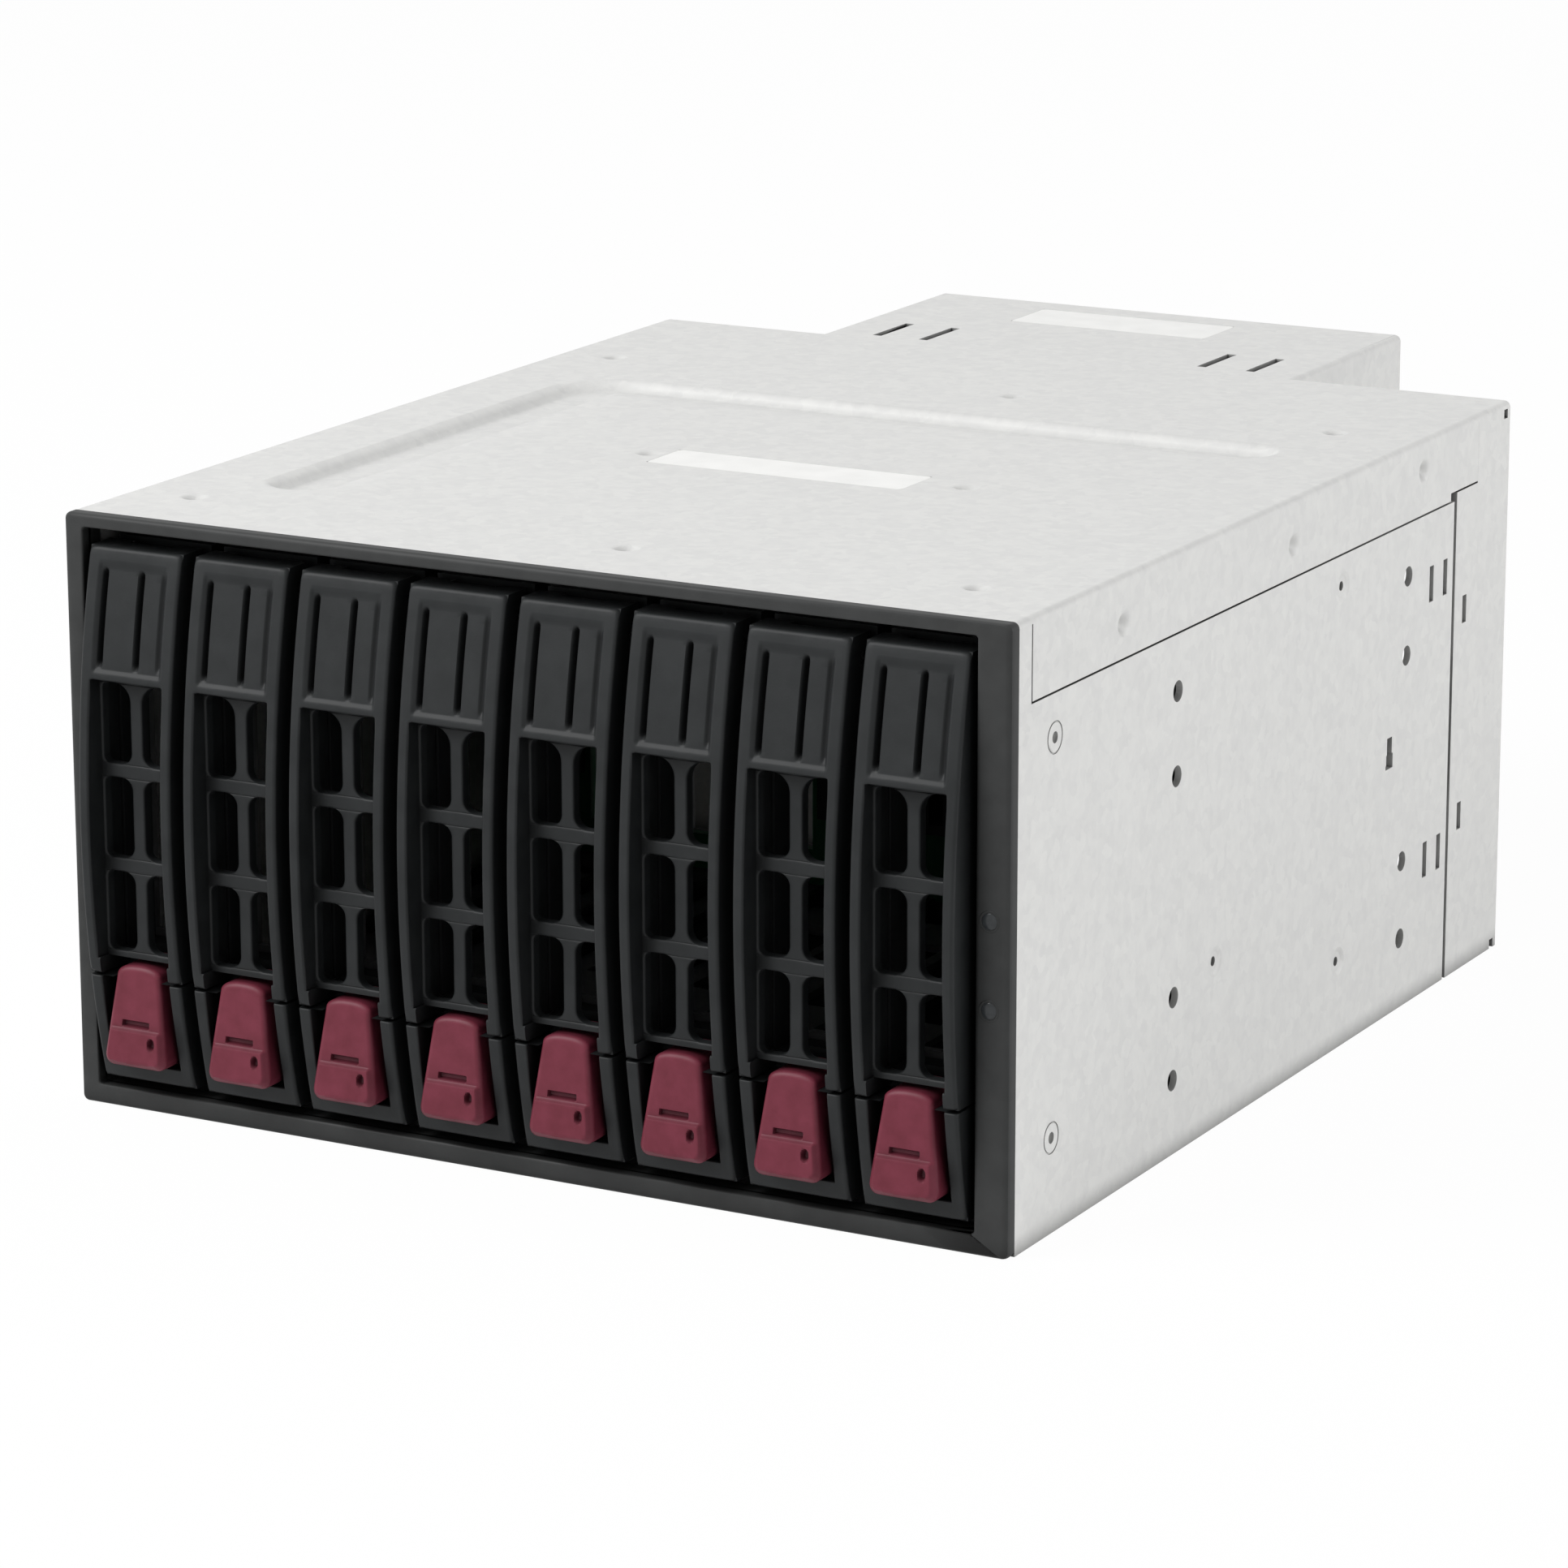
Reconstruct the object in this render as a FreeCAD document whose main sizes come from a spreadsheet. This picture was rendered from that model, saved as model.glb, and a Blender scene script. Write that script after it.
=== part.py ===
import FreeCAD, Part
import os
import re
import Sketcher

os.makedirs("parts", exist_ok=True)
doc = FreeCAD.newDocument("drive_cage")

# Eight-bay hot swap cage for 2.5 inch drives, made to fill two 5.25 inch bays.
# Millimetres. X is across the front, Y runs from the front to the rear and Z is up.
# The origin is under the front edge of the steel shell, in the middle of its width.

SIZES = {
    # shell and bays
    "bay_count": 8,
    "bay_pitch": 17.25,
    "strip_right": 5.0,
    "strip_low": 2.9,
    "strip_high": 1.9,
    "sheet": 1.0,
    "leg": 3.4,
    "guide_sheet": 1.5,
    "run_gap": 0.3,
    "rail": 1.2,
    "drive_room": 70.2,
    "pan_depth": 144.4,
    "seam_gap": 1.0,
    "hood_depth": 20.1,
    "relief": 1.4,
    "bend": 0.2,
    # half a side of a regular octagon, for a half width of 1
    "octagon_side": 0.414,
    # cover
    "front_strip": 3.6,
    "cover_gap": 0.3,
    "flange_drop": 11.2,
    "flange_end": 153,
    "flange_step": 1.2,
    "flange_step_run": 10,
    "bead_deep": 1.2,
    "bead_wide": 9.5,
    "bead_inset_side": 14,
    "bead_inset_right": 15.5,
    "bead_start": 26,
    "bead_cross": 117.5,
    # standard side holes of two 5.25 inch bays
    "mount_radius": 1.5,
    "mount_front": 48.2,
    "mount_span": 79.25,
    "mount_low": 10.74,
    "mount_pair": 11.84,
    "mount_bay": 43.0,
    # slots in the side walls
    "slot_wide": 1.5,
    "slot_tall": 5.4,
    "slot_first": 136.3,
    "slot_step": 5.2,
    "slot_low": 20.7,
    "slot_high": 62.7,
    "hood_slot_back": 149.3,
    "hood_slot_tall": 4.2,
    "hood_slot_low": 24.4,
    "hood_slot_high": 56.3,
    # front ring with its lights
    "ring_deep": 2.0,
    "skirt_deep": 2.4,
    "skirt_gap": 0.2,
    "lens_wide": 2.0,
    "lens_proud": 0.2,
    "lens_inset": 3.0,
    "lens_high": 45.6,
    "lens_low": 33.6,
    "light_board": 1.2,
    "light_board_tall": 24,
    # guides
    "rib": 1.4,
    "rib_tall": 3.1,
    "guide_gap": 0.6,
    "guide_lead": 4.0,
    # carrier
    "carrier_wide": 15.0,
    "carrier_back": 112,
    "carrier_lip": 2.0,
    "window_long": 36,
    "window_wide": 7,
    "window_step": 48,
    "window_start": 18,
    # carrier bezel
    "face_wide": 15.2,
    "bow_radius": 163,
    "crest_out": 6.4,
    "crest_high": 42,
    "bezel_low": 4.4,
    "bezel_high": 80.8,
    "bezel_back": 9.0,
    "frame_front": 2.3,
    "seam_high": 20.1,
    "seam": 0.4,
    "relief_front": 5.6,
    "relief_low": 74.4,
    # handle
    "handle_back": 2.0,
    "handle_high": 80.7,
    "ridge": 1.7,
    "panel_front": 2.8,
    "panel": 1.6,
    "side_wall": 1.4,
    "vent_low": 23.3,
    "vent_tall": 11.5,
    "vent_bar": 2.0,
    "vent_rows": 3,
    "vent_corner": 1.6,
    "recess_margin": 0.7,
    "hollow_low": 64.2,
    "hollow_floor": 0.6,
    "hollow_high": 79.5,
    "groove_wide": 0.8,
    "groove_deep": 0.6,
    "groove_low": 64.5,
    "groove_high": 78,
    "groove_step": 5.0,
    "groove_count": 3,
    # hinge of the handle
    "pivot_back": 1.6,
    "pivot_high": 77.5,
    "pin_radius": 0.8,
    "pin_gap": 0.06,
    "pin_short": 0.2,
    "boss_radius": 1.8,
    "boss_half": 3.0,
    "neck_gap": 0.4,
    "ear_back": 3.4,
    "ear_low": 75.5,
    # release button
    "button_low": 6.4,
    "button_high": 22.2,
    "button_wide": 9.6,
    "button_top_wide": 5.8,
    "button_shoulder": 19.8,
    "button_round": 2.95,
    "button_gap": 0.3,
    "button_back": 3.5,
    "button_room": 2.4,
    "lean_top": 3.5,
    "lean_low": 5.9,
    "pad_high": 12.2,
    "pad_proud": 0.5,
    # backplane
    "bracket_front": 121.4,
    "tab_gap": 0.4,
    "tab_tall": 1.7,
    "key_low": 37.9,
    "key_wide": 2.6,
    "key_tall": 2.2,
    "board": 1.6,
    "board_margin": 4.0,
    "board_low": 8.5,
    "board_high": 76.5,
    "air_wide": 5.0,
    "air_low": 14,
    "air_high": 71,
    "foot": 7.0,
    "socket_wide": 6.0,
    "socket_tall": 42,
    "socket_deep": 8.4,
    "socket_side": 3.5,
    "socket_slot": 2.4,
    "socket_slot_deep": 5.0,
    "socket_rim": 1.5,
    "plug_room_wide": 26,
    "power_wide": 21,
    "power_tall": 9,
    "power_deep": 12,
    "power_low": 14,
    "power_step": 13,
    "data_wide": 9,
    "data_tall": 20,
    "data_deep": 11,
    "data_low": 46,
    "data_step": 12,
    "socket_wall": 1.2,
    # fan and its housing
    "fan_centre": 3.6,
    "fan_size": 80,
    "fan_deep": 38,
    "fan_gap": 0.2,
    "fan_sheet": 0.8,
    "fan_wall": 2,
    "fan_box_deep": 42,
    "fan_box_corner": 12,
    "fan_lip": 3.0,
    "fan_flange": 4.5,
    "top_slot_long": 11.5,
    "top_slot_front": 168.5,
    "top_slot_out": 32.4,
    "top_slot_in": 24.2,
    "hub_radius": 17.5,
    "hub_front": 7.0,
    "blade_tip": 1.2,
    "blade_inset": 4.8,
    "blade_thick": 1.5,
    "blade_turn": 40,
    "blade_bow": 24,
    "blade_count": 7,
    "mount_disc": 19,
    "mount_disc_deep": 4,
    "disc_gap": 0.5,
    "strut_wide": 5,
    "guard_wire": 1.6,
    "guard_step": 9,
    "guard_hub": 9,
    "guard_reach": 50,
    "guard_loops": 4,
    "fan_waist": 8,
    # cable way through the rear
    "cable_gap": 6.6,
    "cable_low": 10,
    "cable_high": 72,
    "cable_inset": 3,
    "tongue_low": 30,
    "tongue_high": 50,
    "tongue_long": 12,
}

sheet = doc.addObject("Spreadsheet::Sheet", "Sizes")
for row, (alias, value) in enumerate(SIZES.items(), 1):
    sheet.set(f"A{row}", alias)
    sheet.set(f"B{row}", str(value))
    sheet.setAlias(f"B{row}", alias)
doc.recompute()

# Derived measures, as formulas of the sheet's names.
STRIP_LEFT = "(2 * sheet + run_gap + rib / 2)"
WIDE = f"({STRIP_LEFT} + bay_count * bay_pitch + strip_right)"
HALF = f"({WIDE} / 2)"
HIGH = "(2 * (sheet + leg + guide_sheet + run_gap + rail) + drive_room)"
SHELL_END = "(pan_depth + seam_gap + hood_depth)"
WALL_IN = f"({HALF} - sheet)"
WALL_STEP = f"({HALF} - 2 * sheet)"
COVER_LOW = f"({HIGH} - sheet)"
RAIL_LOW = "(sheet + leg + guide_sheet + run_gap)"
RAIL_HIGH = f"({HIGH} - {RAIL_LOW})"
GUIDE_FRONT = "(bezel_back + guide_gap)"
GUIDE_END = "(bracket_front - board)"
TAB_LOW = "(key_low + key_tall + tab_gap)"
VENT_X = "(face_wide / 2 - ridge)"
PANEL_BACK = "(-panel_front + panel)"
FAN_HALF = "(fan_size / 2 + fan_gap + fan_sheet)"
FAN_BORE = "(fan_size / 2 - fan_wall)"
FAN_X = "(-fan_centre)"
FAN_Z = f"({HIGH} - {FAN_HALF})"
FAN_END = f"({SHELL_END} + fan_box_deep)"
FAN_BACK = f"({FAN_END} - fan_sheet)"
FAN_FRONT = f"({FAN_BACK} - fan_deep)"
ROTOR_FRONT = f"({FAN_FRONT} + hub_front)"
ROTOR_BACK = f"({FAN_BACK} - mount_disc_deep - disc_gap)"
BLADE_CHORD = f"(({ROTOR_BACK} - {ROTOR_FRONT} - 2 * blade_inset) / cos(blade_turn))"
FACE = "(face_wide / 2)"

# Largest difference that still counts as none, in millimetres.
TOUCH = 1e-3


def number(formula):
    """Value of a formula of the sheet's names."""
    return float(sheet.evalExpression(str(formula)))


def bind(item, setting, formula):
    """Tie one setting of an object to a formula of the sheet's names."""
    item.setExpression(setting, re.sub(r"\b[a-z]\w*\b(?!\s*\()", r"Sizes.\g<0>", str(formula)))


def face_y(height):
    """Y of the bowed carrier face at a height: a circle whose crest stands out of the shell."""
    return f"(bow_radius - crest_out - sqrt(bow_radius ^ 2 - ({height} - crest_high) ^ 2))"


def bay_x(bay):
    """Middle of a bay, counted from 0 at the left."""
    return f"({STRIP_LEFT} + ({bay} + 0.5) * bay_pitch - {HALF})"


# ---- sketch outlines ----------------------------------------------------------------------

def fix(drawing, kind, where, formula):
    """Constrain one point of a sketch to a distance from its origin, or a radius."""
    index = drawing.addConstraint(Sketcher.Constraint(kind, *where, number(formula)))
    bind(drawing, f"Constraints[{index}]", formula)


def arc_edge(start, end, radius, side):
    """Minor arc between two points that bulges to the left (1) or the right (-1) of its run."""
    chord = end - start
    left = FreeCAD.Vector(-chord.y, chord.x, 0).normalize()
    half = chord.Length / 2
    rise = radius - max(radius ** 2 - half ** 2, 0) ** 0.5
    middle = (start + end) / 2 + left * side * rise
    if side > 0:
        return Part.Arc(end, middle, start)
    return Part.Arc(start, middle, end)


def outline(*points):
    """Closed outline. Each point is (x, y), or (x, y, radius, side) where an arc leads to it."""
    def draw(drawing):
        spots = [FreeCAD.Vector(number(point[0]), number(point[1]), 0) for point in points]
        ends = []
        for index, point in enumerate(points):
            start, end = spots[index - 1], spots[index]
            order = (1, 2)
            edge = Part.LineSegment(start, end)
            if len(point) > 2:
                edge = arc_edge(start, end, number(point[2]), point[3])
                order = (2, 1) if point[3] > 0 else (1, 2)
            ends.append((drawing.addGeometry(edge, False), *order))
        for index, point in enumerate(points):
            edge, first, last = ends[index]
            following = ends[(index + 1) % len(ends)]
            drawing.addConstraint(Sketcher.Constraint("Coincident", edge, last, *following[:2]))
            fix(drawing, "DistanceX", (-1, 1, edge, last), point[0])
            fix(drawing, "DistanceY", (-1, 1, edge, last), point[1])
            if len(point) > 2:
                before = points[index - 1]
                level = abs(number(f"{point[1]} - ({before[1]})")) < TOUCH
                round_end = number(f"2 * {point[2]}") - (spots[index] - spots[index - 1]).Length
                if round_end > TOUCH:
                    fix(drawing, "Radius", (edge,), point[2])
                elif level:
                    fix(drawing, "DistanceY", (-1, 1, edge, 3), point[1])
                else:
                    fix(drawing, "DistanceX", (-1, 1, edge, 3), point[0])
    return draw


def rectangle(left, right, low, high):
    """Upright rectangle between four formulas."""
    return outline((left, low), (right, low), (right, high), (left, high))


def octagon(across, up, half, corner):
    """Square opening with cut corners; corner is half of the straight part of a side."""
    return outline(
        (f"{across} + {corner}", f"{up} - {half}"), (f"{across} + {half}", f"{up} - {corner}"),
        (f"{across} + {half}", f"{up} + {corner}"), (f"{across} + {corner}", f"{up} + {half}"),
        (f"{across} - {corner}", f"{up} + {half}"), (f"{across} - {half}", f"{up} + {corner}"),
        (f"{across} - {half}", f"{up} - {corner}"), (f"{across} - {corner}", f"{up} - {half}"))


def circle(across, up, radius):
    """Circle about a point."""
    def draw(drawing):
        middle = FreeCAD.Vector(number(across), number(up), 0)
        ring = Part.Circle(middle, FreeCAD.Vector(0, 0, 1), number(radius))
        edge = drawing.addGeometry(ring, False)
        fix(drawing, "DistanceX", (-1, 1, edge, 3), across)
        fix(drawing, "DistanceY", (-1, 1, edge, 3), up)
        fix(drawing, "Radius", (edge,), radius)
    return draw


# ---- features -----------------------------------------------------------------------------

# Plane that an outline is drawn on, for each side it is seen from.
AXES = {"side": "YZ_Plane", "front": "XZ_Plane", "plan": "XY_Plane"}


def sub_part(name):
    """Body of one sub-part."""
    body = doc.addObject("PartDesign::Body", name)
    body.Label = name
    return body


def origin_item(body, role):
    """Plane or axis of a body's own origin."""
    return next(item for item in body.Origin.OriginFeatures if item.Role == role)


def sketch(body, view, level, outlines):
    """Sketch seen from the side, front or plan, at a level along the axis it is seen along."""
    drawing = body.newObject("Sketcher::SketchObject", f"{body.Name}_outline")
    drawing.AttachmentSupport = [(origin_item(body, AXES[view]), "")]
    drawing.MapMode = "FlatFace"
    sign = "-1 * " if view == "front" else ""
    bind(drawing, "AttachmentOffset.Base.z", f"{sign}({level})")
    for draw in outlines:
        draw(drawing)
    return drawing


def pad(body, view, low, high, *outlines):
    """Material between two levels along the axis that the outlines are seen along."""
    feature = body.newObject("PartDesign::Pad", f"{body.Name}_pad")
    feature.Profile = sketch(body, view, low, outlines)
    feature.Reversed = view == "front"
    bind(feature, "Length", f"{high} - ({low})")
    return feature


def cut(body, view, low, high, *outlines):
    """Opening between two levels along the axis that the outlines are seen along."""
    doc.recompute()
    before = body.Shape.Volume
    feature = body.newObject("PartDesign::Pocket", f"{body.Name}_cut")
    feature.Profile = sketch(body, view, low, outlines)
    feature.Reversed = view != "front"
    bind(feature, "Length", f"{high} - ({low})")
    doc.recompute()
    if body.Shape.Volume > before - TOUCH:
        raise ValueError(f"a cut in {body.Label} takes nothing away")
    return feature


def fillet(body, base, radius, chosen):
    """Round the edges of the base feature whose middle point the rule chooses."""
    doc.recompute()
    edges = base.Shape.Edges
    names = [f"Edge{index}" for index, edge in enumerate(edges, 1)
             if chosen(edge.BoundBox.Center, edge.BoundBox)]
    feature = body.newObject("PartDesign::Fillet", f"{body.Name}_fillet")
    feature.Base = (base, names)
    bind(feature, "Radius", radius)
    return feature


# ---- steel shell --------------------------------------------------------------------------

def wall_profile(side):
    """Side wall with a joggle at its top, which lets the cover's flange lie flush outside it."""
    step = f"({HIGH} - flange_drop - cover_gap)"
    return [
        (f"{side} * {HALF}", "0"),
        (f"{side} * {HALF}", step),
        (f"{side} * {WALL_IN}", step),
        (f"{side} * {WALL_IN}", COVER_LOW),
        (f"{side} * {WALL_STEP}", COVER_LOW),
        (f"{side} * {WALL_STEP}", f"{step} - sheet"),
        (f"{side} * {WALL_IN}", f"{step} - sheet"),
        (f"{side} * {WALL_IN}", "sheet"),
    ]


def plain_tray():
    """U of a floor and two straight walls up to the cover."""
    return outline(
        (f"-{HALF}", "0"), (HALF, "0"), (HALF, COVER_LOW), (WALL_IN, COVER_LOW),
        (WALL_IN, "sheet"), (f"-{WALL_IN}", "sheet"), (f"-{WALL_IN}", COVER_LOW),
        (f"-{HALF}", COVER_LOW))


def mount_holes():
    """Screw holes of two stacked 5.25 inch bays, seen from the side."""
    return [
        circle(f"mount_front + {column} * mount_span",
               f"mount_low + {pair} * mount_pair + {bay} * mount_bay", "mount_radius")
        for column in (0, 1) for bay in (0, 1) for pair in (0, 1)
    ]


def upright_slot(back, middle, tall, wide):
    """Square-ended upright slot seen from the side."""
    return rectangle(f"{back} - {wide} / 2", f"{back} + {wide} / 2",
                     f"{middle} - {tall} / 2", f"{middle} + {tall} / 2")


def chassis_pan():
    """Floor and side walls folded from one sheet."""
    body = sub_part("chassis_pan")
    right = wall_profile(1)
    left = wall_profile(-1)
    pad(body, "front", "front_strip - sheet", "pan_depth", outline(*right, *reversed(left)))
    pad(body, "front", "0", "front_strip", plain_tray())
    slots = [
        upright_slot(f"(slot_first + {column} * slot_step)", middle, "slot_tall", "slot_wide")
        for column in (0, 1) for middle in ("slot_low", "slot_high")
    ]
    middle = "(bracket_front + sheet / 2)"
    narrow = "(sheet / 2 + tab_gap)"
    shoulder = "(key_low + key_tall)"
    crown = f"({TAB_LOW} + tab_tall + tab_gap)"
    keyhole = outline(
        (f"{middle} - key_wide / 2", "key_low"),
        (f"{middle} + key_wide / 2", "key_low"),
        (f"{middle} + key_wide / 2", shoulder),
        (f"{middle} + {narrow}", shoulder),
        (f"{middle} + {narrow}", crown),
        (f"{middle} - {narrow}", crown),
        (f"{middle} - {narrow}", shoulder),
        (f"{middle} - key_wide / 2", shoulder))
    cut(body, "side", f"-{HALF}", HALF, *mount_holes(), *slots, keyhole)
    return body


def bead_outline(grow):
    """L-shaped stiffening bead with round ends, made wider all round by a margin."""
    left = f"(bead_inset_side - {HALF} - {grow})"
    inner = f"(bead_inset_side - {HALF} + bead_wide + {grow})"
    front = "(bead_start + bead_wide / 2)"
    right = f"({HALF} - bead_inset_right - bead_wide / 2)"
    near = f"(bead_cross - bead_wide - {grow})"
    far = f"(bead_cross + {grow})"
    end = f"(bead_wide / 2 + {grow})"
    corner = f"(bead_wide + {grow})"
    return outline(
        (inner, front, end, -1),
        (inner, near),
        (right, near),
        (right, far, end, -1),
        (f"{left} + {corner}", far),
        (left, f"{far} - {corner}", corner, -1),
        (left, front))


def top_cover():
    """Lid with side flanges and a pressed bead."""
    body = sub_part("top_cover")
    pad(body, "plan", COVER_LOW, HIGH, rectangle(f"-{HALF}", HALF, "0", SHELL_END))
    low = f"{HIGH} - flange_drop"
    pad(body, "front", "front_strip + cover_gap", "flange_end",
        rectangle(WALL_IN, HALF, low, f"{HIGH} - sheet / 2"),
        rectangle(f"-{HALF}", f"-{WALL_IN}", low, f"{HIGH} - sheet / 2"))
    stepped = cut(body, "side", f"-{HALF}", HALF,
                  rectangle("flange_end - flange_step_run", "flange_end + sheet",
                            f"{low} - sheet", f"{low} + flange_step"))
    edge_x = number(HALF)
    edge_z = number(HIGH)
    fillet(body, stepped, "sheet + bend", lambda middle, box: abs(abs(middle.x) - edge_x) < TOUCH
           and abs(middle.z - edge_z) < TOUCH)
    pad(body, "plan", f"{COVER_LOW} - bead_deep", f"{COVER_LOW} + sheet / 2", bead_outline("0"))
    cut(body, "plan", f"{HIGH} - bead_deep", HIGH, bead_outline("-sheet"))
    return body


def rear_hood():
    """Rear end of the shell, with the air opening of the fan and the cable way."""
    body = sub_part("rear_hood")
    start = "(pan_depth + seam_gap)"
    pad(body, "front", start, SHELL_END, plain_tray())
    low = f"({HIGH} - flange_drop + flange_step - cover_gap)"
    pad(body, "side", f"-{WALL_IN}", f"-{WALL_STEP}",
        rectangle("pan_depth - tongue_long", f"{start} + sheet", "tongue_low", "tongue_high"))
    pad(body, "side", WALL_STEP, WALL_IN,
        rectangle("pan_depth - tongue_long", f"{start} + sheet", "tongue_low", "tongue_high"))
    air = "(fan_size / 2 - fan_lip)"
    corner = f"({air} - fan_box_corner)"
    pad(body, "front", f"{SHELL_END} - sheet", SHELL_END,
        rectangle(f"-{WALL_IN}", WALL_IN, "sheet / 2", COVER_LOW))
    cut(body, "side", f"-{HALF}", HALF,
        rectangle(f"{start} - sheet", "flange_end + cover_gap", low, HIGH),
        upright_slot("hood_slot_back", "hood_slot_low", "hood_slot_tall", "slot_wide"),
        upright_slot("hood_slot_back", "hood_slot_high", "hood_slot_tall", "slot_wide"))
    relief_end = f"({SHELL_END} - sheet)"
    for side_low, side_high in ((f"-{HALF}", f"-{WALL_IN}"), (WALL_IN, HALF)):
        cut(body, "side", side_low, side_high,
            rectangle(f"{relief_end} - relief", relief_end, "0", "relief"),
            rectangle(f"{relief_end} - relief", relief_end, f"{COVER_LOW} - relief", COVER_LOW))
    cable_left = f"({FAN_X} + {FAN_HALF} + cable_gap)"
    cut(body, "front", f"{SHELL_END} - 2 * sheet", f"{SHELL_END} + sheet",
        octagon(FAN_X, FAN_Z, air, corner),
        rectangle(cable_left, f"{WALL_IN} - cable_inset", "cable_low", "cable_high"))
    return body


def light_pipes():
    """Square sections of the two light pipes in the ring's right strip."""
    middle = f"({HALF} - lens_inset)"
    return [rectangle(f"{middle} - lens_wide / 2", f"{middle} + lens_wide / 2",
                      f"{height} - lens_wide / 2", f"{height} + lens_wide / 2")
            for height in ("lens_low", "lens_high")]


def front_bezel():
    """Moulded ring round the bays, with a skirt that plugs into the shell."""
    body = sub_part("front_bezel")
    mouth = [f"({STRIP_LEFT} - {HALF})", f"({HALF} - strip_right)", "strip_low",
             f"({HIGH} - strip_high)"]
    pad(body, "front", "-ring_deep", "0", rectangle(f"-{HALF}", HALF, "0", HIGH),
        rectangle(*mouth))
    inside = f"({WALL_IN} - skirt_gap)"
    pad(body, "front", "-ring_deep / 2", "skirt_deep",
        rectangle(f"-{inside}", inside, "sheet + skirt_gap", f"{COVER_LOW} - skirt_gap"),
        rectangle(*mouth))
    cut(body, "front", "-ring_deep - sheet", "skirt_deep + sheet", *light_pipes())
    return body


def status_lenses():
    """Two light pipes in the right strip of the ring."""
    body = sub_part("status_lenses")
    pad(body, "front", "-ring_deep - lens_proud", "skirt_deep", *light_pipes())
    return body


def status_led_board():
    """Small circuit board that lights the two pipes."""
    body = sub_part("status_led_board")
    middle = "((lens_low + lens_high) / 2)"
    pad(body, "front", "skirt_deep", "skirt_deep + light_board",
        rectangle(f"{HALF} - strip_right", f"{WALL_IN} - skirt_gap",
                  f"{middle} - light_board_tall / 2", f"{middle} + light_board_tall / 2"))
    return body


def guide(name, up):
    """Comb plate on two legs. The ribs stand between the carriers' rails."""
    body = sub_part(name)
    side = "1" if up else "-1"
    middle = f"({HIGH} / 2)"
    reach = f"({WALL_STEP} - skirt_gap)" if up else f"({WALL_IN} - skirt_gap)"

    def level(height):
        """Height above the floor in the lower guide, mirrored in the upper one."""
        return f"({middle} + {side} * ({middle} - ({height})))"

    def band(left, right, low, high):
        """Rectangle given by its heights above the floor."""
        ends = (low, high) if not up else (high, low)
        return rectangle(left, right, level(ends[0]), level(ends[1]))

    top = "sheet + leg + guide_sheet"
    pad(body, "front", GUIDE_FRONT, GUIDE_END,
        band(f"-{reach}", reach, "sheet + leg", top))
    pad(body, "front", GUIDE_FRONT, GUIDE_END,
        band(f"-{reach}", f"guide_sheet - {reach}", "sheet", f"{top} - guide_sheet / 2"),
        band(f"{reach} - guide_sheet", reach, "sheet", f"{top} - guide_sheet / 2"))
    first = f"({STRIP_LEFT} - {HALF})"
    ribs = pad(
        body, "front", f"{GUIDE_FRONT} + guide_lead", GUIDE_END,
        band(f"{first} - rib / 2", f"{first} + rib / 2", f"{top} - guide_sheet / 2",
             f"{top} + rib_tall"))
    doc.recompute()
    comb = body.newObject("PartDesign::LinearPattern", f"{name}_comb")
    comb.Originals = [ribs]
    comb.Direction = (origin_item(body, "X_Axis"), [""])
    comb.Mode = "Spacing"
    bind(comb, "Offset", "bay_pitch")
    bind(comb, "Occurrences", "bay_count + 1")
    body.Tip = comb
    return body


# ---- one bay ------------------------------------------------------------------------------

def seat_in_bay(body, bay):
    """Place a sub-part modelled about the middle of its bay."""
    bind(body, "Placement.Base.x", bay_x(bay))


def carrier(bay):
    """Sheet frame that holds one drive: two rails joined by a front plate."""
    body = sub_part(f"carrier_{bay + 1}")
    half = "(carrier_wide / 2)"
    pad(body, "side", f"-{half}", half, outline(
        ("bezel_back", RAIL_LOW), ("carrier_back", RAIL_LOW),
        ("carrier_back", f"{RAIL_LOW} + rail"), ("bezel_back + rail", f"{RAIL_LOW} + rail"),
        ("bezel_back + rail", f"{RAIL_HIGH} - rail"), ("carrier_back", f"{RAIL_HIGH} - rail"),
        ("carrier_back", RAIL_HIGH), ("bezel_back", RAIL_HIGH)))
    cut(body, "front", "bezel_back - rail", "bezel_back + 2 * rail",
        rectangle(f"-{VENT_X}", VENT_X, "vent_low", f"{RAIL_HIGH} - rail - carrier_lip"))
    windows = []
    for count in (0, 1):
        start = f"(window_start + {count} * window_step)"
        windows.append(rectangle("-window_wide / 2", "window_wide / 2", start,
                                 f"{start} + window_long"))
    cut(body, "plan", f"{RAIL_LOW} - rail", f"{RAIL_HIGH} + rail", *windows)
    seat_in_bay(body, bay)
    return body


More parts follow.
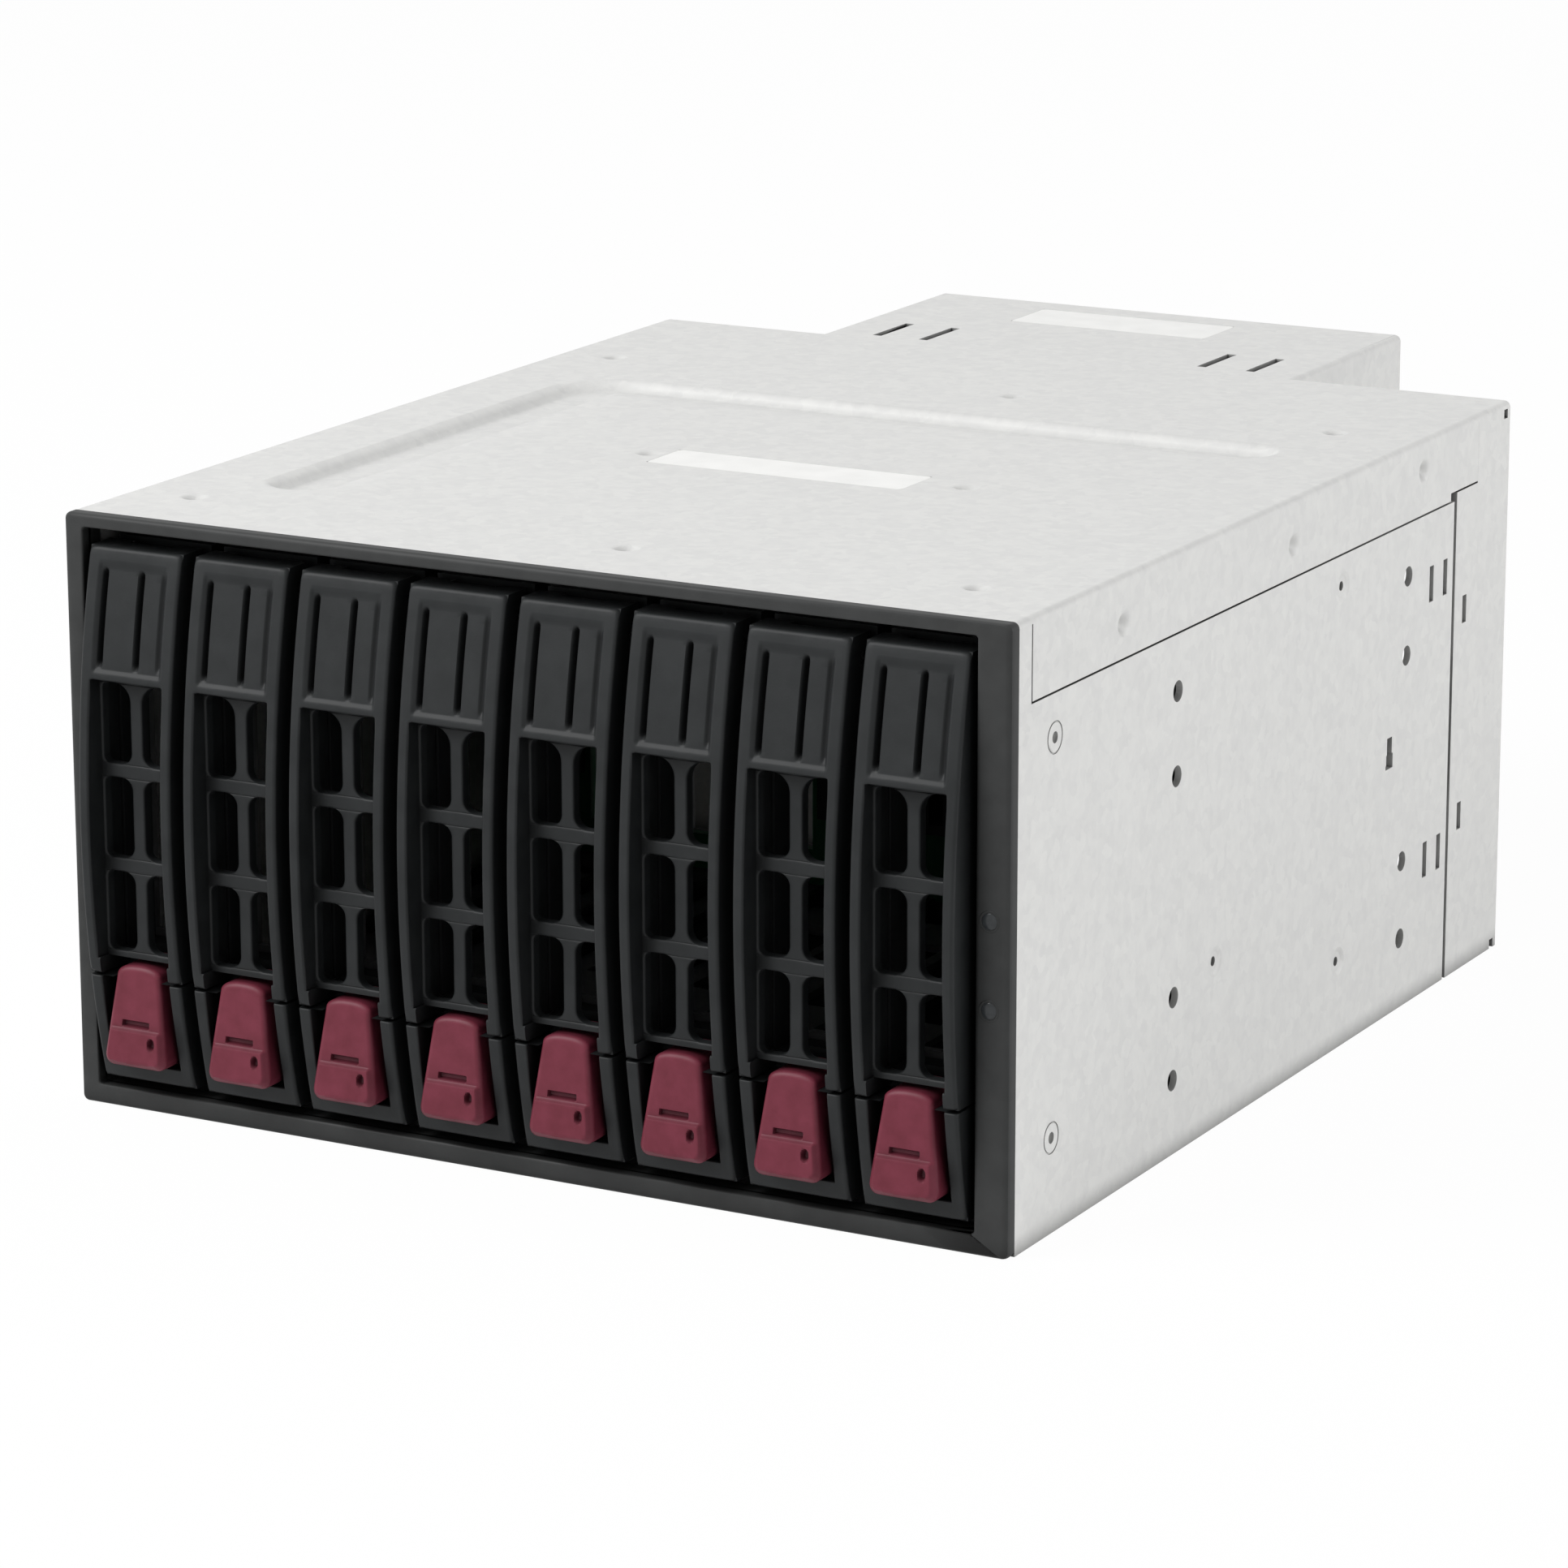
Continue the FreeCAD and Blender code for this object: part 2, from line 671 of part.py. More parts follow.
def bezel(bay):
    """Moulded front of a carrier: the fixed lower face, the frame behind the handle and the
    boss that carries the handle's pin."""
    body = sub_part(f"bezel_{bay + 1}")
    top_of_face = "(seam_high - seam / 2)"
    pad(body, "side", f"-{FACE}", FACE, outline(
        ("bezel_back", "bezel_low"),
        ("bezel_back", "bezel_high"),
        ("relief_front", "bezel_high"),
        ("relief_front", "relief_low"),
        ("frame_front", "relief_low"),
        ("frame_front", top_of_face),
        (face_y(top_of_face), top_of_face),
        (face_y("bezel_low"), "bezel_low", "bow_radius", -1)))
    flat = "boss_radius * octagon_side"
    pad(body, "side", "-boss_half", "boss_half", outline(
        (f"pivot_back - {flat}", "pivot_high - boss_radius"),
        ("relief_front + rail", "pivot_high - boss_radius"),
        ("relief_front + rail", "pivot_high"),
        ("pivot_back + boss_radius", "pivot_high"),
        ("pivot_back + boss_radius", f"pivot_high + {flat}"),
        (f"pivot_back + {flat}", "pivot_high + boss_radius"),
        (f"pivot_back - {flat}", "pivot_high + boss_radius"),
        ("pivot_back - boss_radius", f"pivot_high + {flat}"),
        ("pivot_back - boss_radius", f"pivot_high - {flat}")))
    cut(body, "side", f"-{FACE}", FACE, circle("pivot_back", "pivot_high", "pin_radius"))
    cut(body, "front", "-2 * crest_out", "bezel_back + sheet",
        rectangle(f"-{VENT_X}", VENT_X, "vent_low - vent_bar / 2", "hollow_low - vent_bar"))
    cut(body, "front", "-2 * crest_out", "button_back + button_room",
        button_outline("button_gap"))
    seat_in_bay(body, bay)
    return body


def button_outline(grow):
    """Front outline of the release button, a taper with a round top, grown by a margin."""
    foot_half = f"(button_wide / 2 + {grow})"
    top_half = f"(button_top_wide / 2 + {grow})"
    return outline(
        (f"-{foot_half}", f"button_low - {grow}"),
        (foot_half, f"button_low - {grow}"),
        (top_half, "button_shoulder"),
        (f"-{top_half}", "button_shoulder", f"button_round + {grow}", -1))


def release_button(bay):
    """Push button that lets the handle go. Its face leans out and has a raised thumb pad."""
    body = sub_part(f"release_button_{bay + 1}")
    front = "(-2 * crest_out)"
    pad(body, "front", front, "button_back", button_outline("0"))
    slope = "((lean_low - lean_top) / (button_high - button_low))"
    at_step = f"(-lean_low + {slope} * (pad_high - button_low))"
    above = "(button_high + sheet)"
    below = "(button_low - sheet)"
    cut(body, "side", f"-{FACE}", FACE, outline(
        (f"{front} - sheet", below),
        ("-lean_low - pad_proud", below),
        ("-lean_low - pad_proud", "button_low"),
        (f"{at_step} - pad_proud", "pad_high - pad_proud"),
        (at_step, "pad_high"),
        ("-lean_top", "button_high"),
        ("-lean_top", above),
        (f"{front} - sheet", above)))
    seat_in_bay(body, bay)
    return body


def vent(left, right, low, high, inward):
    """Air opening between two bars. The two corners beside the middle bar are cut away."""
    near, far = (left, right) if inward < 0 else (right, left)
    turn = "vent_corner" if inward < 0 else "-vent_corner"
    return outline(
        (far, low), (far, high), (f"{near} + {turn}", high),
        (near, f"{high} - vent_corner"), (near, f"{low} + vent_corner"),
        (f"{near} + {turn}", low))


def handle(bay):
    """Bowed lever that covers the carrier's front: two side ridges, a recessed air grille, a
    ribbed finger grip at the top, and ears that clip over the hinge pin."""
    body = sub_part(f"handle_{bay + 1}")
    foot = "(seam_high + seam / 2)"
    vents_high = "(vent_low + vent_rows * (vent_tall + vent_bar) - vent_bar)"
    recess = ("(vent_low - recess_margin)", f"({vents_high} + recess_margin)")
    front = "(-2 * crest_out)"
    pad(body, "side", f"-{FACE}", FACE, outline(
        ("handle_back", foot),
        ("handle_back", "ear_low"),
        ("ear_back", "ear_low"),
        ("ear_back", "handle_high"),
        (face_y("handle_high"), "handle_high"),
        (face_y(foot), foot, "bow_radius", -1)))
    inner = f"({FACE} - side_wall)"
    cut(body, "front", front, "-panel_front", rectangle(f"-{VENT_X}", VENT_X, *recess))
    cut(body, "front", PANEL_BACK, "handle_back + sheet",
        rectangle(f"-{inner}", inner, *recess))
    cut(body, "front", "-hollow_floor", "ear_back + sheet",
        rectangle(f"-{inner}", inner, "hollow_low", "hollow_high"))
    vents = [
        vent(f"{min(side, 0)} * {VENT_X} + {max(side, 0)} * vent_bar / 2",
             f"{max(side, 0)} * {VENT_X} + {min(side, 0)} * vent_bar / 2",
             "vent_low", "vent_low + vent_tall", -side)
        for side in (-1, 1)
    ]
    opening = cut(body, "front", "-panel_front - sheet", f"{PANEL_BACK} + sheet", *vents)
    grille = body.newObject("PartDesign::LinearPattern", f"{body.Name}_grille")
    grille.Originals = [opening]
    grille.Direction = (origin_item(body, "Z_Axis"), [""])
    grille.Mode = "Spacing"
    bind(grille, "Offset", "vent_tall + vent_bar")
    bind(grille, "Occurrences", "vent_rows")
    body.Tip = grille
    first = "((1 - groove_count) / 2 * groove_step)"
    groove = cut(body, "side", f"{first} - groove_wide / 2", f"{first} + groove_wide / 2",
                 groove_outline())
    grip = body.newObject("PartDesign::LinearPattern", f"{body.Name}_grip")
    grip.Originals = [groove]
    grip.Direction = (origin_item(body, "X_Axis"), [""])
    grip.Mode = "Spacing"
    bind(grip, "Offset", "groove_step")
    bind(grip, "Occurrences", "groove_count")
    body.Tip = grip
    grasp = "(pin_radius + pin_gap)"
    cut(body, "side", f"-{FACE}", FACE, rectangle(
        f"pivot_back - {grasp}", "ear_back + sheet", f"pivot_high - {grasp}",
        f"pivot_high + {grasp}"))
    cut(body, "front", "pivot_back + neck_gap", "ear_back + sheet", rectangle(
        "-boss_half - neck_gap", "boss_half + neck_gap", "hollow_high - sheet",
        "handle_high + sheet"))
    notch_x = "(button_top_wide / 2 + 2 * button_gap)"
    cut(body, "front", front, "handle_back + sheet",
        rectangle(f"-{notch_x}", notch_x, f"{foot} - sheet", "button_high + button_gap"))
    seat_in_bay(body, bay)
    return body


def groove_outline():
    """Side view of a grip groove, which follows the bowed face at one depth."""
    deep = "(bow_radius - groove_deep)"
    low_y = f"(bow_radius - crest_out - sqrt({deep} ^ 2 - (groove_low - crest_high) ^ 2))"
    high_y = f"(bow_radius - crest_out - sqrt({deep} ^ 2 - (groove_high - crest_high) ^ 2))"
    return outline(
        (high_y, "groove_high", deep, 1),
        ("-2 * crest_out", "groove_high"),
        ("-2 * crest_out", "groove_low"),
        (low_y, "groove_low"))


def handle_pin(bay):
    """Hinge pin pressed into the bezel's boss. The handle turns on its ends."""
    body = sub_part(f"handle_pin_{bay + 1}")
    half = f"({FACE} - pin_short)"
    pad(body, "side", f"-{half}", half, circle("pivot_back", "pivot_high", "pin_radius"))
    seat_in_bay(body, bay)
    return body


# ---- backplane ----------------------------------------------------------------------------

def air_windows():
    """Upright air openings to the right of each drive socket."""
    windows = []
    for bay in range(SIZES["bay_count"]):
        left = f"({bay_x(bay)} - socket_side + socket_wide / 2 + sheet)"
        windows.append(rectangle(left, f"{left} + air_wide", "air_low", "air_high"))
    return windows


def backplane_board():
    """Circuit board behind the drives."""
    body = sub_part("backplane_board")
    reach = f"({HALF} - board_margin)"
    pad(body, "front", GUIDE_END, "bracket_front", rectangle(f"-{reach}", reach, "board_low",
                                                            "board_high"))
    cut(body, "front", f"{GUIDE_END} - sheet", "bracket_front + sheet", *air_windows())
    return body


def drive_sockets():
    """One connector for each drive, soldered to the front of the board."""
    body = sub_part("drive_sockets")
    middle = f"({HIGH} / 2)"
    shells = []
    slots = []
    for bay in range(SIZES["bay_count"]):
        across = f"({bay_x(bay)} - socket_side)"
        shells.append(rectangle(
            f"{across} - socket_wide / 2", f"{across} + socket_wide / 2",
            f"{middle} - socket_tall / 2", f"{middle} + socket_tall / 2"))
        slots.append(rectangle(
            f"{across} - socket_slot / 2", f"{across} + socket_slot / 2",
            f"{middle} - socket_tall / 2 + socket_rim",
            f"{middle} + socket_tall / 2 - socket_rim"))
    front = f"({GUIDE_END} - socket_deep)"
    body.AllowCompound = True
    pad(body, "front", front, GUIDE_END, *shells)
    cut(body, "front", front, f"{front} + socket_slot_deep", *slots)
    return body


def plug_room():
    """Opening of the bracket round the plugs of the board's rear side."""
    right = f"({WALL_IN} - board_margin - sheet)"
    return [f"{right} - plug_room_wide", right]


def rear_sockets(name, wide, tall, deep, low, step):
    """Open-ended sockets in a column on the rear of the board."""
    body = sub_part(name)
    left, right = plug_room()
    middle = f"(({left} + {right}) / 2)"
    body.AllowCompound = True
    if name == "data_sockets":
        spots = [(f"({middle} + {side} * {step} / 2)", low) for side in (-1, 1)]
    else:
        spots = [(middle, f"({low} + {count} * {step})") for count in (0, 1)]
    shells = [rectangle(f"{across} - {wide} / 2", f"{across} + {wide} / 2", base,
                        f"{base} + {tall}") for across, base in spots]
    mouths = [rectangle(f"{across} - {wide} / 2 + socket_wall",
                        f"{across} + {wide} / 2 - socket_wall", f"{base} + socket_wall",
                        f"{base} + {tall} - socket_wall") for across, base in spots]
    pad(body, "front", "bracket_front", f"bracket_front + {deep}", *shells)
    cut(body, "front", "bracket_front + 2 * socket_wall", f"bracket_front + {deep}", *mouths)
    return body


def backplane_bracket():
    """Sheet plate behind the board, with a foot on the floor and a tab at each wall's keyhole."""
    body = sub_part("backplane_bracket")
    back = "(bracket_front + sheet)"
    reach = f"({HALF} - board_margin)"
    pad(body, "front", "bracket_front", back, rectangle(f"-{reach}", reach, "sheet", "board_high"))
    pad(body, "front", "bracket_front", back,
        rectangle(f"skirt_gap - {WALL_IN}", f"sheet - {reach}", TAB_LOW,
                  f"{TAB_LOW} + tab_tall"),
        rectangle(f"{reach} - sheet", f"{WALL_IN} - skirt_gap", TAB_LOW,
                  f"{TAB_LOW} + tab_tall"))
    pad(body, "plan", "sheet", "2 * sheet",
        rectangle(f"-{reach}", reach, "bracket_front + sheet / 2", f"{back} + foot"))
    left, right = plug_room()
    edge = number(left)
    windows = [window for bay, window in enumerate(air_windows())
               if number(f"{bay_x(bay)} + bay_pitch / 2") < edge]
    cut(body, "front", "bracket_front - sheet", f"{back} + sheet / 2",
        rectangle(left, right, "power_low - sheet", "data_low + data_tall + sheet"), *windows)
    return body


# ---- fan ----------------------------------------------------------------------------------

def fan_square(half):
    """Square about the fan's axis, seen from the front."""
    return rectangle(f"{FAN_X} - {half}", f"{FAN_X} + {half}", f"{FAN_Z} - {half}",
                     f"{FAN_Z} + {half}")


def fan_housing():
    """Square sheet duct behind the shell, with a lip at its rear that the fan is screwed to."""
    body = sub_part("fan_housing")
    duct = pad(body, "front", SHELL_END, FAN_END, fan_square(FAN_HALF),
               fan_square("(fan_size / 2 + fan_gap)"))
    corner_out = number(FAN_HALF)
    fan_x, fan_z = number(FAN_X), number(FAN_Z)
    fillet(body, duct, "fan_sheet + bend",
           lambda middle, box: abs(abs(middle.x - fan_x) - corner_out) < TOUCH
           and abs(abs(middle.z - fan_z) - corner_out) < TOUCH)
    air = "(fan_size / 2 - fan_lip)"
    pad(body, "front", FAN_BACK, FAN_END, fan_square("(fan_size / 2 + fan_gap + fan_sheet / 2)"),
        octagon(FAN_X, FAN_Z, air, f"({air} - fan_box_corner)"))
    slots = [
        rectangle(f"{FAN_X} + {place} - slot_wide / 2", f"{FAN_X} + {place} + slot_wide / 2",
                  "top_slot_front", "top_slot_front + top_slot_long")
        for place in ("-1 * top_slot_out", "-1 * top_slot_in", "top_slot_in", "top_slot_out")
    ]
    cut(body, "plan", f"{HIGH} - 2 * fan_sheet", f"{HIGH} + fan_sheet", *slots)
    return body


def fan_frame():
    """Fan casing with its bore, four struts and the plate that carries the rotor's bearing."""
    body = sub_part("fan_frame")
    half = "(fan_size / 2)"
    pad(body, "front", FAN_FRONT, FAN_BACK, fan_square(half),
        circle(FAN_X, FAN_Z, FAN_BORE))
    disc = f"({FAN_BACK} - mount_disc_deep)"
    pad(body, "front", disc, FAN_BACK,
        octagon(FAN_X, FAN_Z, "mount_disc", "mount_disc * octagon_side"))
    reach = f"({FAN_BORE} + sheet)"
    start = "(mount_disc - sheet)"
    wide = "(strut_wide / 2)"
    pad(body, "front", disc, FAN_BACK,
        rectangle(f"{FAN_X} - {wide}", f"{FAN_X} + {wide}", f"{FAN_Z} + {start}",
                  f"{FAN_Z} + {reach}"),
        rectangle(f"{FAN_X} - {wide}", f"{FAN_X} + {wide}", f"{FAN_Z} - {reach}",
                  f"{FAN_Z} - {start}"),
        rectangle(f"{FAN_X} + {start}", f"{FAN_X} + {reach}", f"{FAN_Z} - {wide}",
                  f"{FAN_Z} + {wide}"),
        rectangle(f"{FAN_X} - {reach}", f"{FAN_X} - {start}", f"{FAN_Z} - {wide}",
                  f"{FAN_Z} + {wide}"))
    cut(body, "front", f"{FAN_FRONT} + fan_flange", f"{FAN_BACK} - fan_flange",
        *corner_notches())
    return body


def corner_notches():
    """Waist of the fan's corners between its two square flanges."""
    half = "(fan_size / 2)"
    notches = []
    for side in (-1, 1):
        for end in (-1, 1):
            corner_x = f"({FAN_X} + {side} * ({half} + sheet))"
            corner_z = f"({FAN_Z} + {end} * ({half} + sheet))"
            notches.append(outline(
                (corner_x, corner_z),
                (f"{corner_x} - {side} * fan_waist", corner_z),
                (corner_x, f"{corner_z} - {end} * fan_waist")))
    return notches


def fan_rotor():
    """Hub with slanted, hollow-bowed blades, modelled about its own axis."""
    body = sub_part("fan_rotor")
    middle = f"(({ROTOR_FRONT} + {ROTOR_BACK}) / 2)"
    pad(body, "front", ROTOR_FRONT, ROTOR_BACK, circle("0", "0", "hub_radius"))
    corners = []
    for along, over, bow in ((-1, -1, 0), (1, -1, 1), (1, 1, 0), (-1, 1, -1)):
        reach = f"({along} * {BLADE_CHORD} / 2)"
        thick = f"({over} * blade_thick / 2)"
        corner = (f"{middle} + {reach} * cos(blade_turn) - {thick} * sin(blade_turn)",
                  f"{reach} * sin(blade_turn) + {thick} * cos(blade_turn)")
        corners.append((*corner, "blade_bow", bow) if bow else corner)
    blade = pad(body, "side", "hub_radius / 2", f"{FAN_BORE} - blade_tip", outline(*corners))
    doc.recompute()
    ring = body.newObject("PartDesign::PolarPattern", "blades")
    ring.Originals = [blade]
    ring.Axis = (origin_item(body, "Y_Axis"), [""])
    ring.Angle = 360
    bind(ring, "Occurrences", "blade_count")
    body.Tip = ring
    bind(body, "Placement.Base.x", FAN_X)
    bind(body, "Placement.Base.z", FAN_Z)
    return body


def guard_loop(radius):
    """Loop of twelve straight sides about the fan's axis."""
    sides = 12
    turns = [(corner + 0.5) * 360 / sides for corner in range(sides)]
    return outline(*[(f"{FAN_X} + {radius} * cos({turn})", f"{FAN_Z} + {radius} * sin({turn})")
                     for turn in turns])


def fan_guard():
    """Finger guard: wire loops on a cross of two diagonal wires that end at the corners."""
    body = sub_part("fan_guard")
    high = f"({FAN_END} + guard_wire)"
    half = "(guard_wire / 2)"
    for slope in (1, -1):
        far = "(guard_reach / sqrt(2))"
        thick = f"({half} * sqrt(2))"
        pad(body, "front", FAN_END, high, outline(
            (f"{FAN_X} - {far}", f"{FAN_Z} - {slope} * {far} - {thick}"),
            (f"{FAN_X} + {far}", f"{FAN_Z} + {slope} * {far} - {thick}"),
            (f"{FAN_X} + {far}", f"{FAN_Z} + {slope} * {far} + {thick}"),
            (f"{FAN_X} - {far}", f"{FAN_Z} - {slope} * {far} + {thick}")))
    for count in range(SIZES["guard_loops"]):
        radius = f"(guard_hub + {count} * guard_step)"
        pad(body, "front", FAN_END, high, guard_loop(f"({radius} + {half})"),
            guard_loop(f"({radius} - {half})"))
    return body


# ---- build, check and write ---------------------------------------------------------------

parts = [chassis_pan(), top_cover(), rear_hood(), front_bezel(), status_lenses(),
         status_led_board(), guide("lower_guide", False), guide("upper_guide", True),
         backplane_board(), drive_sockets(),
         rear_sockets("power_sockets", "power_wide", "power_tall", "power_deep", "power_low",
                      "power_step"),
         rear_sockets("data_sockets", "data_wide", "data_tall", "data_deep", "data_low",
                      "data_step"),
         backplane_bracket(), fan_housing(), fan_frame(), fan_rotor(), fan_guard()]
for bay in range(SIZES["bay_count"]):
    parts += [carrier(bay), bezel(bay), handle(bay), handle_pin(bay), release_button(bay)]

doc.recompute()
for item in doc.Objects:
    if "Invalid" in item.State or "Error" in item.State:
        raise ValueError(f"{item.Name} failed: {item.State}")
for part in parts:
    if part.Shape.isNull() or not part.Shape.isValid() or not part.Shape.Solids:
        raise ValueError(f"{part.Label} is not a valid solid")
for part in parts:
    part.Shape.exportStep(f"parts/{part.Label}.step")
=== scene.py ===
# %% [markdown]
# # Hot swap drive cage
#
# Eight carriers for small drives stand side by side in a galvanised steel box that fills two
# drive bays of a computer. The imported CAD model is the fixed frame. This notebook dresses it:
# plain sheet parts keep their CAD mesh and get a finish, and the parts that the hand and eye
# go to first are built again here, as surfaces worked out with numpy.

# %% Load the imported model
import math

import bmesh
import bpy
import numpy as np
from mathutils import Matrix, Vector


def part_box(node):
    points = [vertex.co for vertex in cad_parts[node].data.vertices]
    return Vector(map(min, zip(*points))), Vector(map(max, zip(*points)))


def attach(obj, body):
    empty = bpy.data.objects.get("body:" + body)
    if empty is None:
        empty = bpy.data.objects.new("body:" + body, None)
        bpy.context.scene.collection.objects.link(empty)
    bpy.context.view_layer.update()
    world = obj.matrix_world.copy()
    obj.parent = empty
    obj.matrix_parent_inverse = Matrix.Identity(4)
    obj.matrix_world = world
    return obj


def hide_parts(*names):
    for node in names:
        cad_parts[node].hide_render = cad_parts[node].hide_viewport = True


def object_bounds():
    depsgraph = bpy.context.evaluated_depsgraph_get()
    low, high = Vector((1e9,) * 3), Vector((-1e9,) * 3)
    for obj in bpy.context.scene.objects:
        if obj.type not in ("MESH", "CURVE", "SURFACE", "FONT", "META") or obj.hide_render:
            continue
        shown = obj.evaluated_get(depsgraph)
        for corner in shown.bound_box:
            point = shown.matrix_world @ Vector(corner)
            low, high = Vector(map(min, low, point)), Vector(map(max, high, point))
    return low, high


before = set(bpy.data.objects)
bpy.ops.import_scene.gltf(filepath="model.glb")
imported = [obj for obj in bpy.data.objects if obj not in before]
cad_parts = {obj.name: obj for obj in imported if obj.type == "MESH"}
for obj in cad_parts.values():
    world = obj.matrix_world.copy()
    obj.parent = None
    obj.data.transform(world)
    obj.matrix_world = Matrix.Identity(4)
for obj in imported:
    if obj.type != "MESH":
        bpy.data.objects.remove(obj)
cad_box = [list(corner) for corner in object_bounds()]
scene = bpy.context.scene

# %% [markdown]
# ## Measures
#
# The frame is in metres, but sheet metal and mouldings are easier to read in millimetres. Each
# piece is worked out in millimetres and made small once, when it becomes a mesh. Positions come
# from the boxes of the CAD nodes, so that a changed model carries its dress along.

# %% Millimetres, and the boxes of the CAD nodes
MM = 0.001


def span(node):
    """Lowest and highest corner of a CAD node, in millimetres."""
    low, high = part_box(node)
    return np.array(low) / MM, np.array(high) / MM


shell_low, shell_high = span("top_cover")
ring_low, ring_high = span("front_bezel")
bay_count = sum(name.startswith("carrier_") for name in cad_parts)
bays = range(1, bay_count + 1)
bay_middle = {bay: sum(corner[0] for corner in span(f"bezel_{bay}")) / 2 for bay in bays}
HALF = shell_high[0]
HIGH = shell_high[2]
print("shell:", shell_low.round(2), shell_high.round(2), "bays:", bay_count)

# %% [markdown]
# ## From numbers to a mesh
#
# Almost everything here is a plate of some kind: a sheet, a moulded cover, a ring. One function
# therefore serves most pieces. It takes the same grid of points twice, for the front and the
# back of the plate, and a mask of which cells are material. Holes are cells left out, and the
# walls round them follow by themselves, so that every plate is closed.

# %% Closed plates from two grids of points
SAME_DECIMALS = 5


def weld(points, quads):
    """Joins points that fall together, and drops the sides that shrink to nothing.
    A quad with two equal corners becomes a triangle."""
    keys = np.round(points, SAME_DECIMALS)
    _, first, place = np.unique(keys, axis=0, return_index=True, return_inverse=True)
    quads = place.reshape(-1)[quads]
    differs = quads != np.roll(quads, 1, axis=1)
    corners = differs.sum(axis=1)
    whole = quads[corners == 4]
    folded = quads[corners == 3]
    folded = folded[differs[corners == 3]].reshape(-1, 3)
    faces = whole.tolist() + folded.tolist()
    used = np.unique(np.concatenate([whole.reshape(-1), folded.reshape(-1)]))
    order = np.zeros(len(first), int)
    order[used] = np.arange(len(used))
    faces = [order[face].tolist() for face in faces]
    return points[first][used], faces


def slab(front, back, keep):
    """Plate between two grids of points. A kept cell gives a face on the front and one on the
    back, and each edge between a kept and an empty cell gives one wall face."""
    size = front.shape[0] * front.shape[1]
    index = np.arange(size).reshape(front.shape[:2])
    loop = np.stack([index[:-1, :-1], index[1:, :-1], index[1:, 1:], index[:-1, 1:]], axis=-1)
    padded = np.pad(keep, 1)
    beside = [padded[1:-1, :-2], padded[2:, 1:-1], padded[1:-1, 2:], padded[:-2, 1:-1]]
    quads = [loop[keep], loop[keep][:, ::-1] + size]
    for side in range(4):
        edge = keep & ~beside[side]
        start = loop[edge][:, side]
        end = loop[edge][:, (side + 1) % 4]
        quads.append(np.stack([end, start, start + size, end + size], axis=-1))
    quads = np.concatenate(quads)
    across = front[1:, :-1] - front[:-1, :-1]
    along = front[:-1, 1:] - front[:-1, :-1]
    outward = (np.cross(across, along) * (front - back)[:-1, :-1]).sum(axis=-1)[keep].sum()
    if outward < 0:
        quads = quads[:, ::-1]
    points = np.concatenate([front.reshape(-1, 3), back.reshape(-1, 3)])
    return weld(points, quads)


def tube(rings, closed=False):
    """Skin over a row of closed rings of points. Open ends are covered by a fan to the middle of
    the end ring; a closed row joins its last ring to its first."""
    around = rings.shape[1]
    if closed:
        rings = np.concatenate([rings, rings[:1]])
    else:
        first = np.repeat(rings[:1].mean(axis=1, keepdims=True), around, axis=1)
        last = np.repeat(rings[-1:].mean(axis=1, keepdims=True), around, axis=1)
        rings = np.concatenate([first, rings, last])
    rings = np.concatenate([rings, rings[:, :1]], axis=1)
    index = np.arange(rings.shape[0] * rings.shape[1]).reshape(rings.shape[:2])
    quads = np.stack([index[:-1, :-1], index[1:, :-1], index[1:, 1:], index[:-1, 1:]], axis=-1)
    quads = quads.reshape(-1, 4)
    points = rings.reshape(-1, 3)
    corner = points[quads]
    normal = np.cross(corner[:, 2] - corner[:, 0], corner[:, 3] - corner[:, 1])
    volume = (normal * (corner.mean(axis=1) - points.mean(axis=0))).sum()
    if volume < 0:
        quads = quads[:, ::-1]
    return weld(points, quads)


def gather(*shapes):
    """Several closed shapes as the points and faces of one mesh."""
    points, faces, count = [], [], 0
    for shape_points, shape_faces in shapes:
        points.append(shape_points)
        faces += [[corner + count for corner in face] for face in shape_faces]
        count += len(shape_points)
    return np.concatenate(points), faces


def moved(shape, by):
    """A shape shifted by a vector."""
    return shape[0] + np.asarray(by, float), shape[1]


# %% [markdown]
# ## Grids that know where the edges are
#
# An even grid wastes points on flat ground and has too few at a rounded edge. The grid lines are
# therefore gathered from the drawing: every edge asks for a few lines close to it, spaced as the
# points of a quarter circle are, and long stretches are filled with an even step.

# %% Grid lines and rounded edges
JUMP, CROWDED = 0.004, 0.35


def lines(start, end, step, *wanted):
    """Sorted grid lines from start to end: even steps, and every wanted line in between. An even
    line that would crowd a wanted one is left out."""
    even = np.linspace(start, end, max(int(round((end - start) / step)), 1) + 1)
    asked = np.concatenate([np.atleast_1d(np.asarray(line, float)) for line in wanted] or [even])
    asked = np.unique(np.round(asked[(asked > start) & (asked < end)], 4))
    if len(asked):
        gap = np.abs(even[:, None] - asked[None]).min(axis=1)
        even = even[(gap > step * CROWDED) | (even == start) | (even == end)]
    return np.unique(np.round(np.concatenate([even, asked]), 4))


def rim(place, towards, radius, count=5):
    """Lines beside an edge, where a quarter circle of that radius rounds it off."""
    turn = np.linspace(0, math.pi / 2, count)
    return place + towards * radius * (1 - np.cos(turn))


def step_at(*places):
    """Two lines at each place, so close that a surface may jump between them."""
    return np.concatenate([(place - JUMP, place + JUMP) for place in places])


def about(places, half):
    """Nine even lines across each place, from half a width before it to half a width after."""
    return (np.atleast_1d(places)[:, None] + half * np.linspace(-1, 1, 9)).ravel()


def mirrored(*wanted):
    """Lines right of the middle, and the same ones left of it."""
    right = np.concatenate([np.atleast_1d(line) for line in wanted])
    return np.concatenate([-right, right])


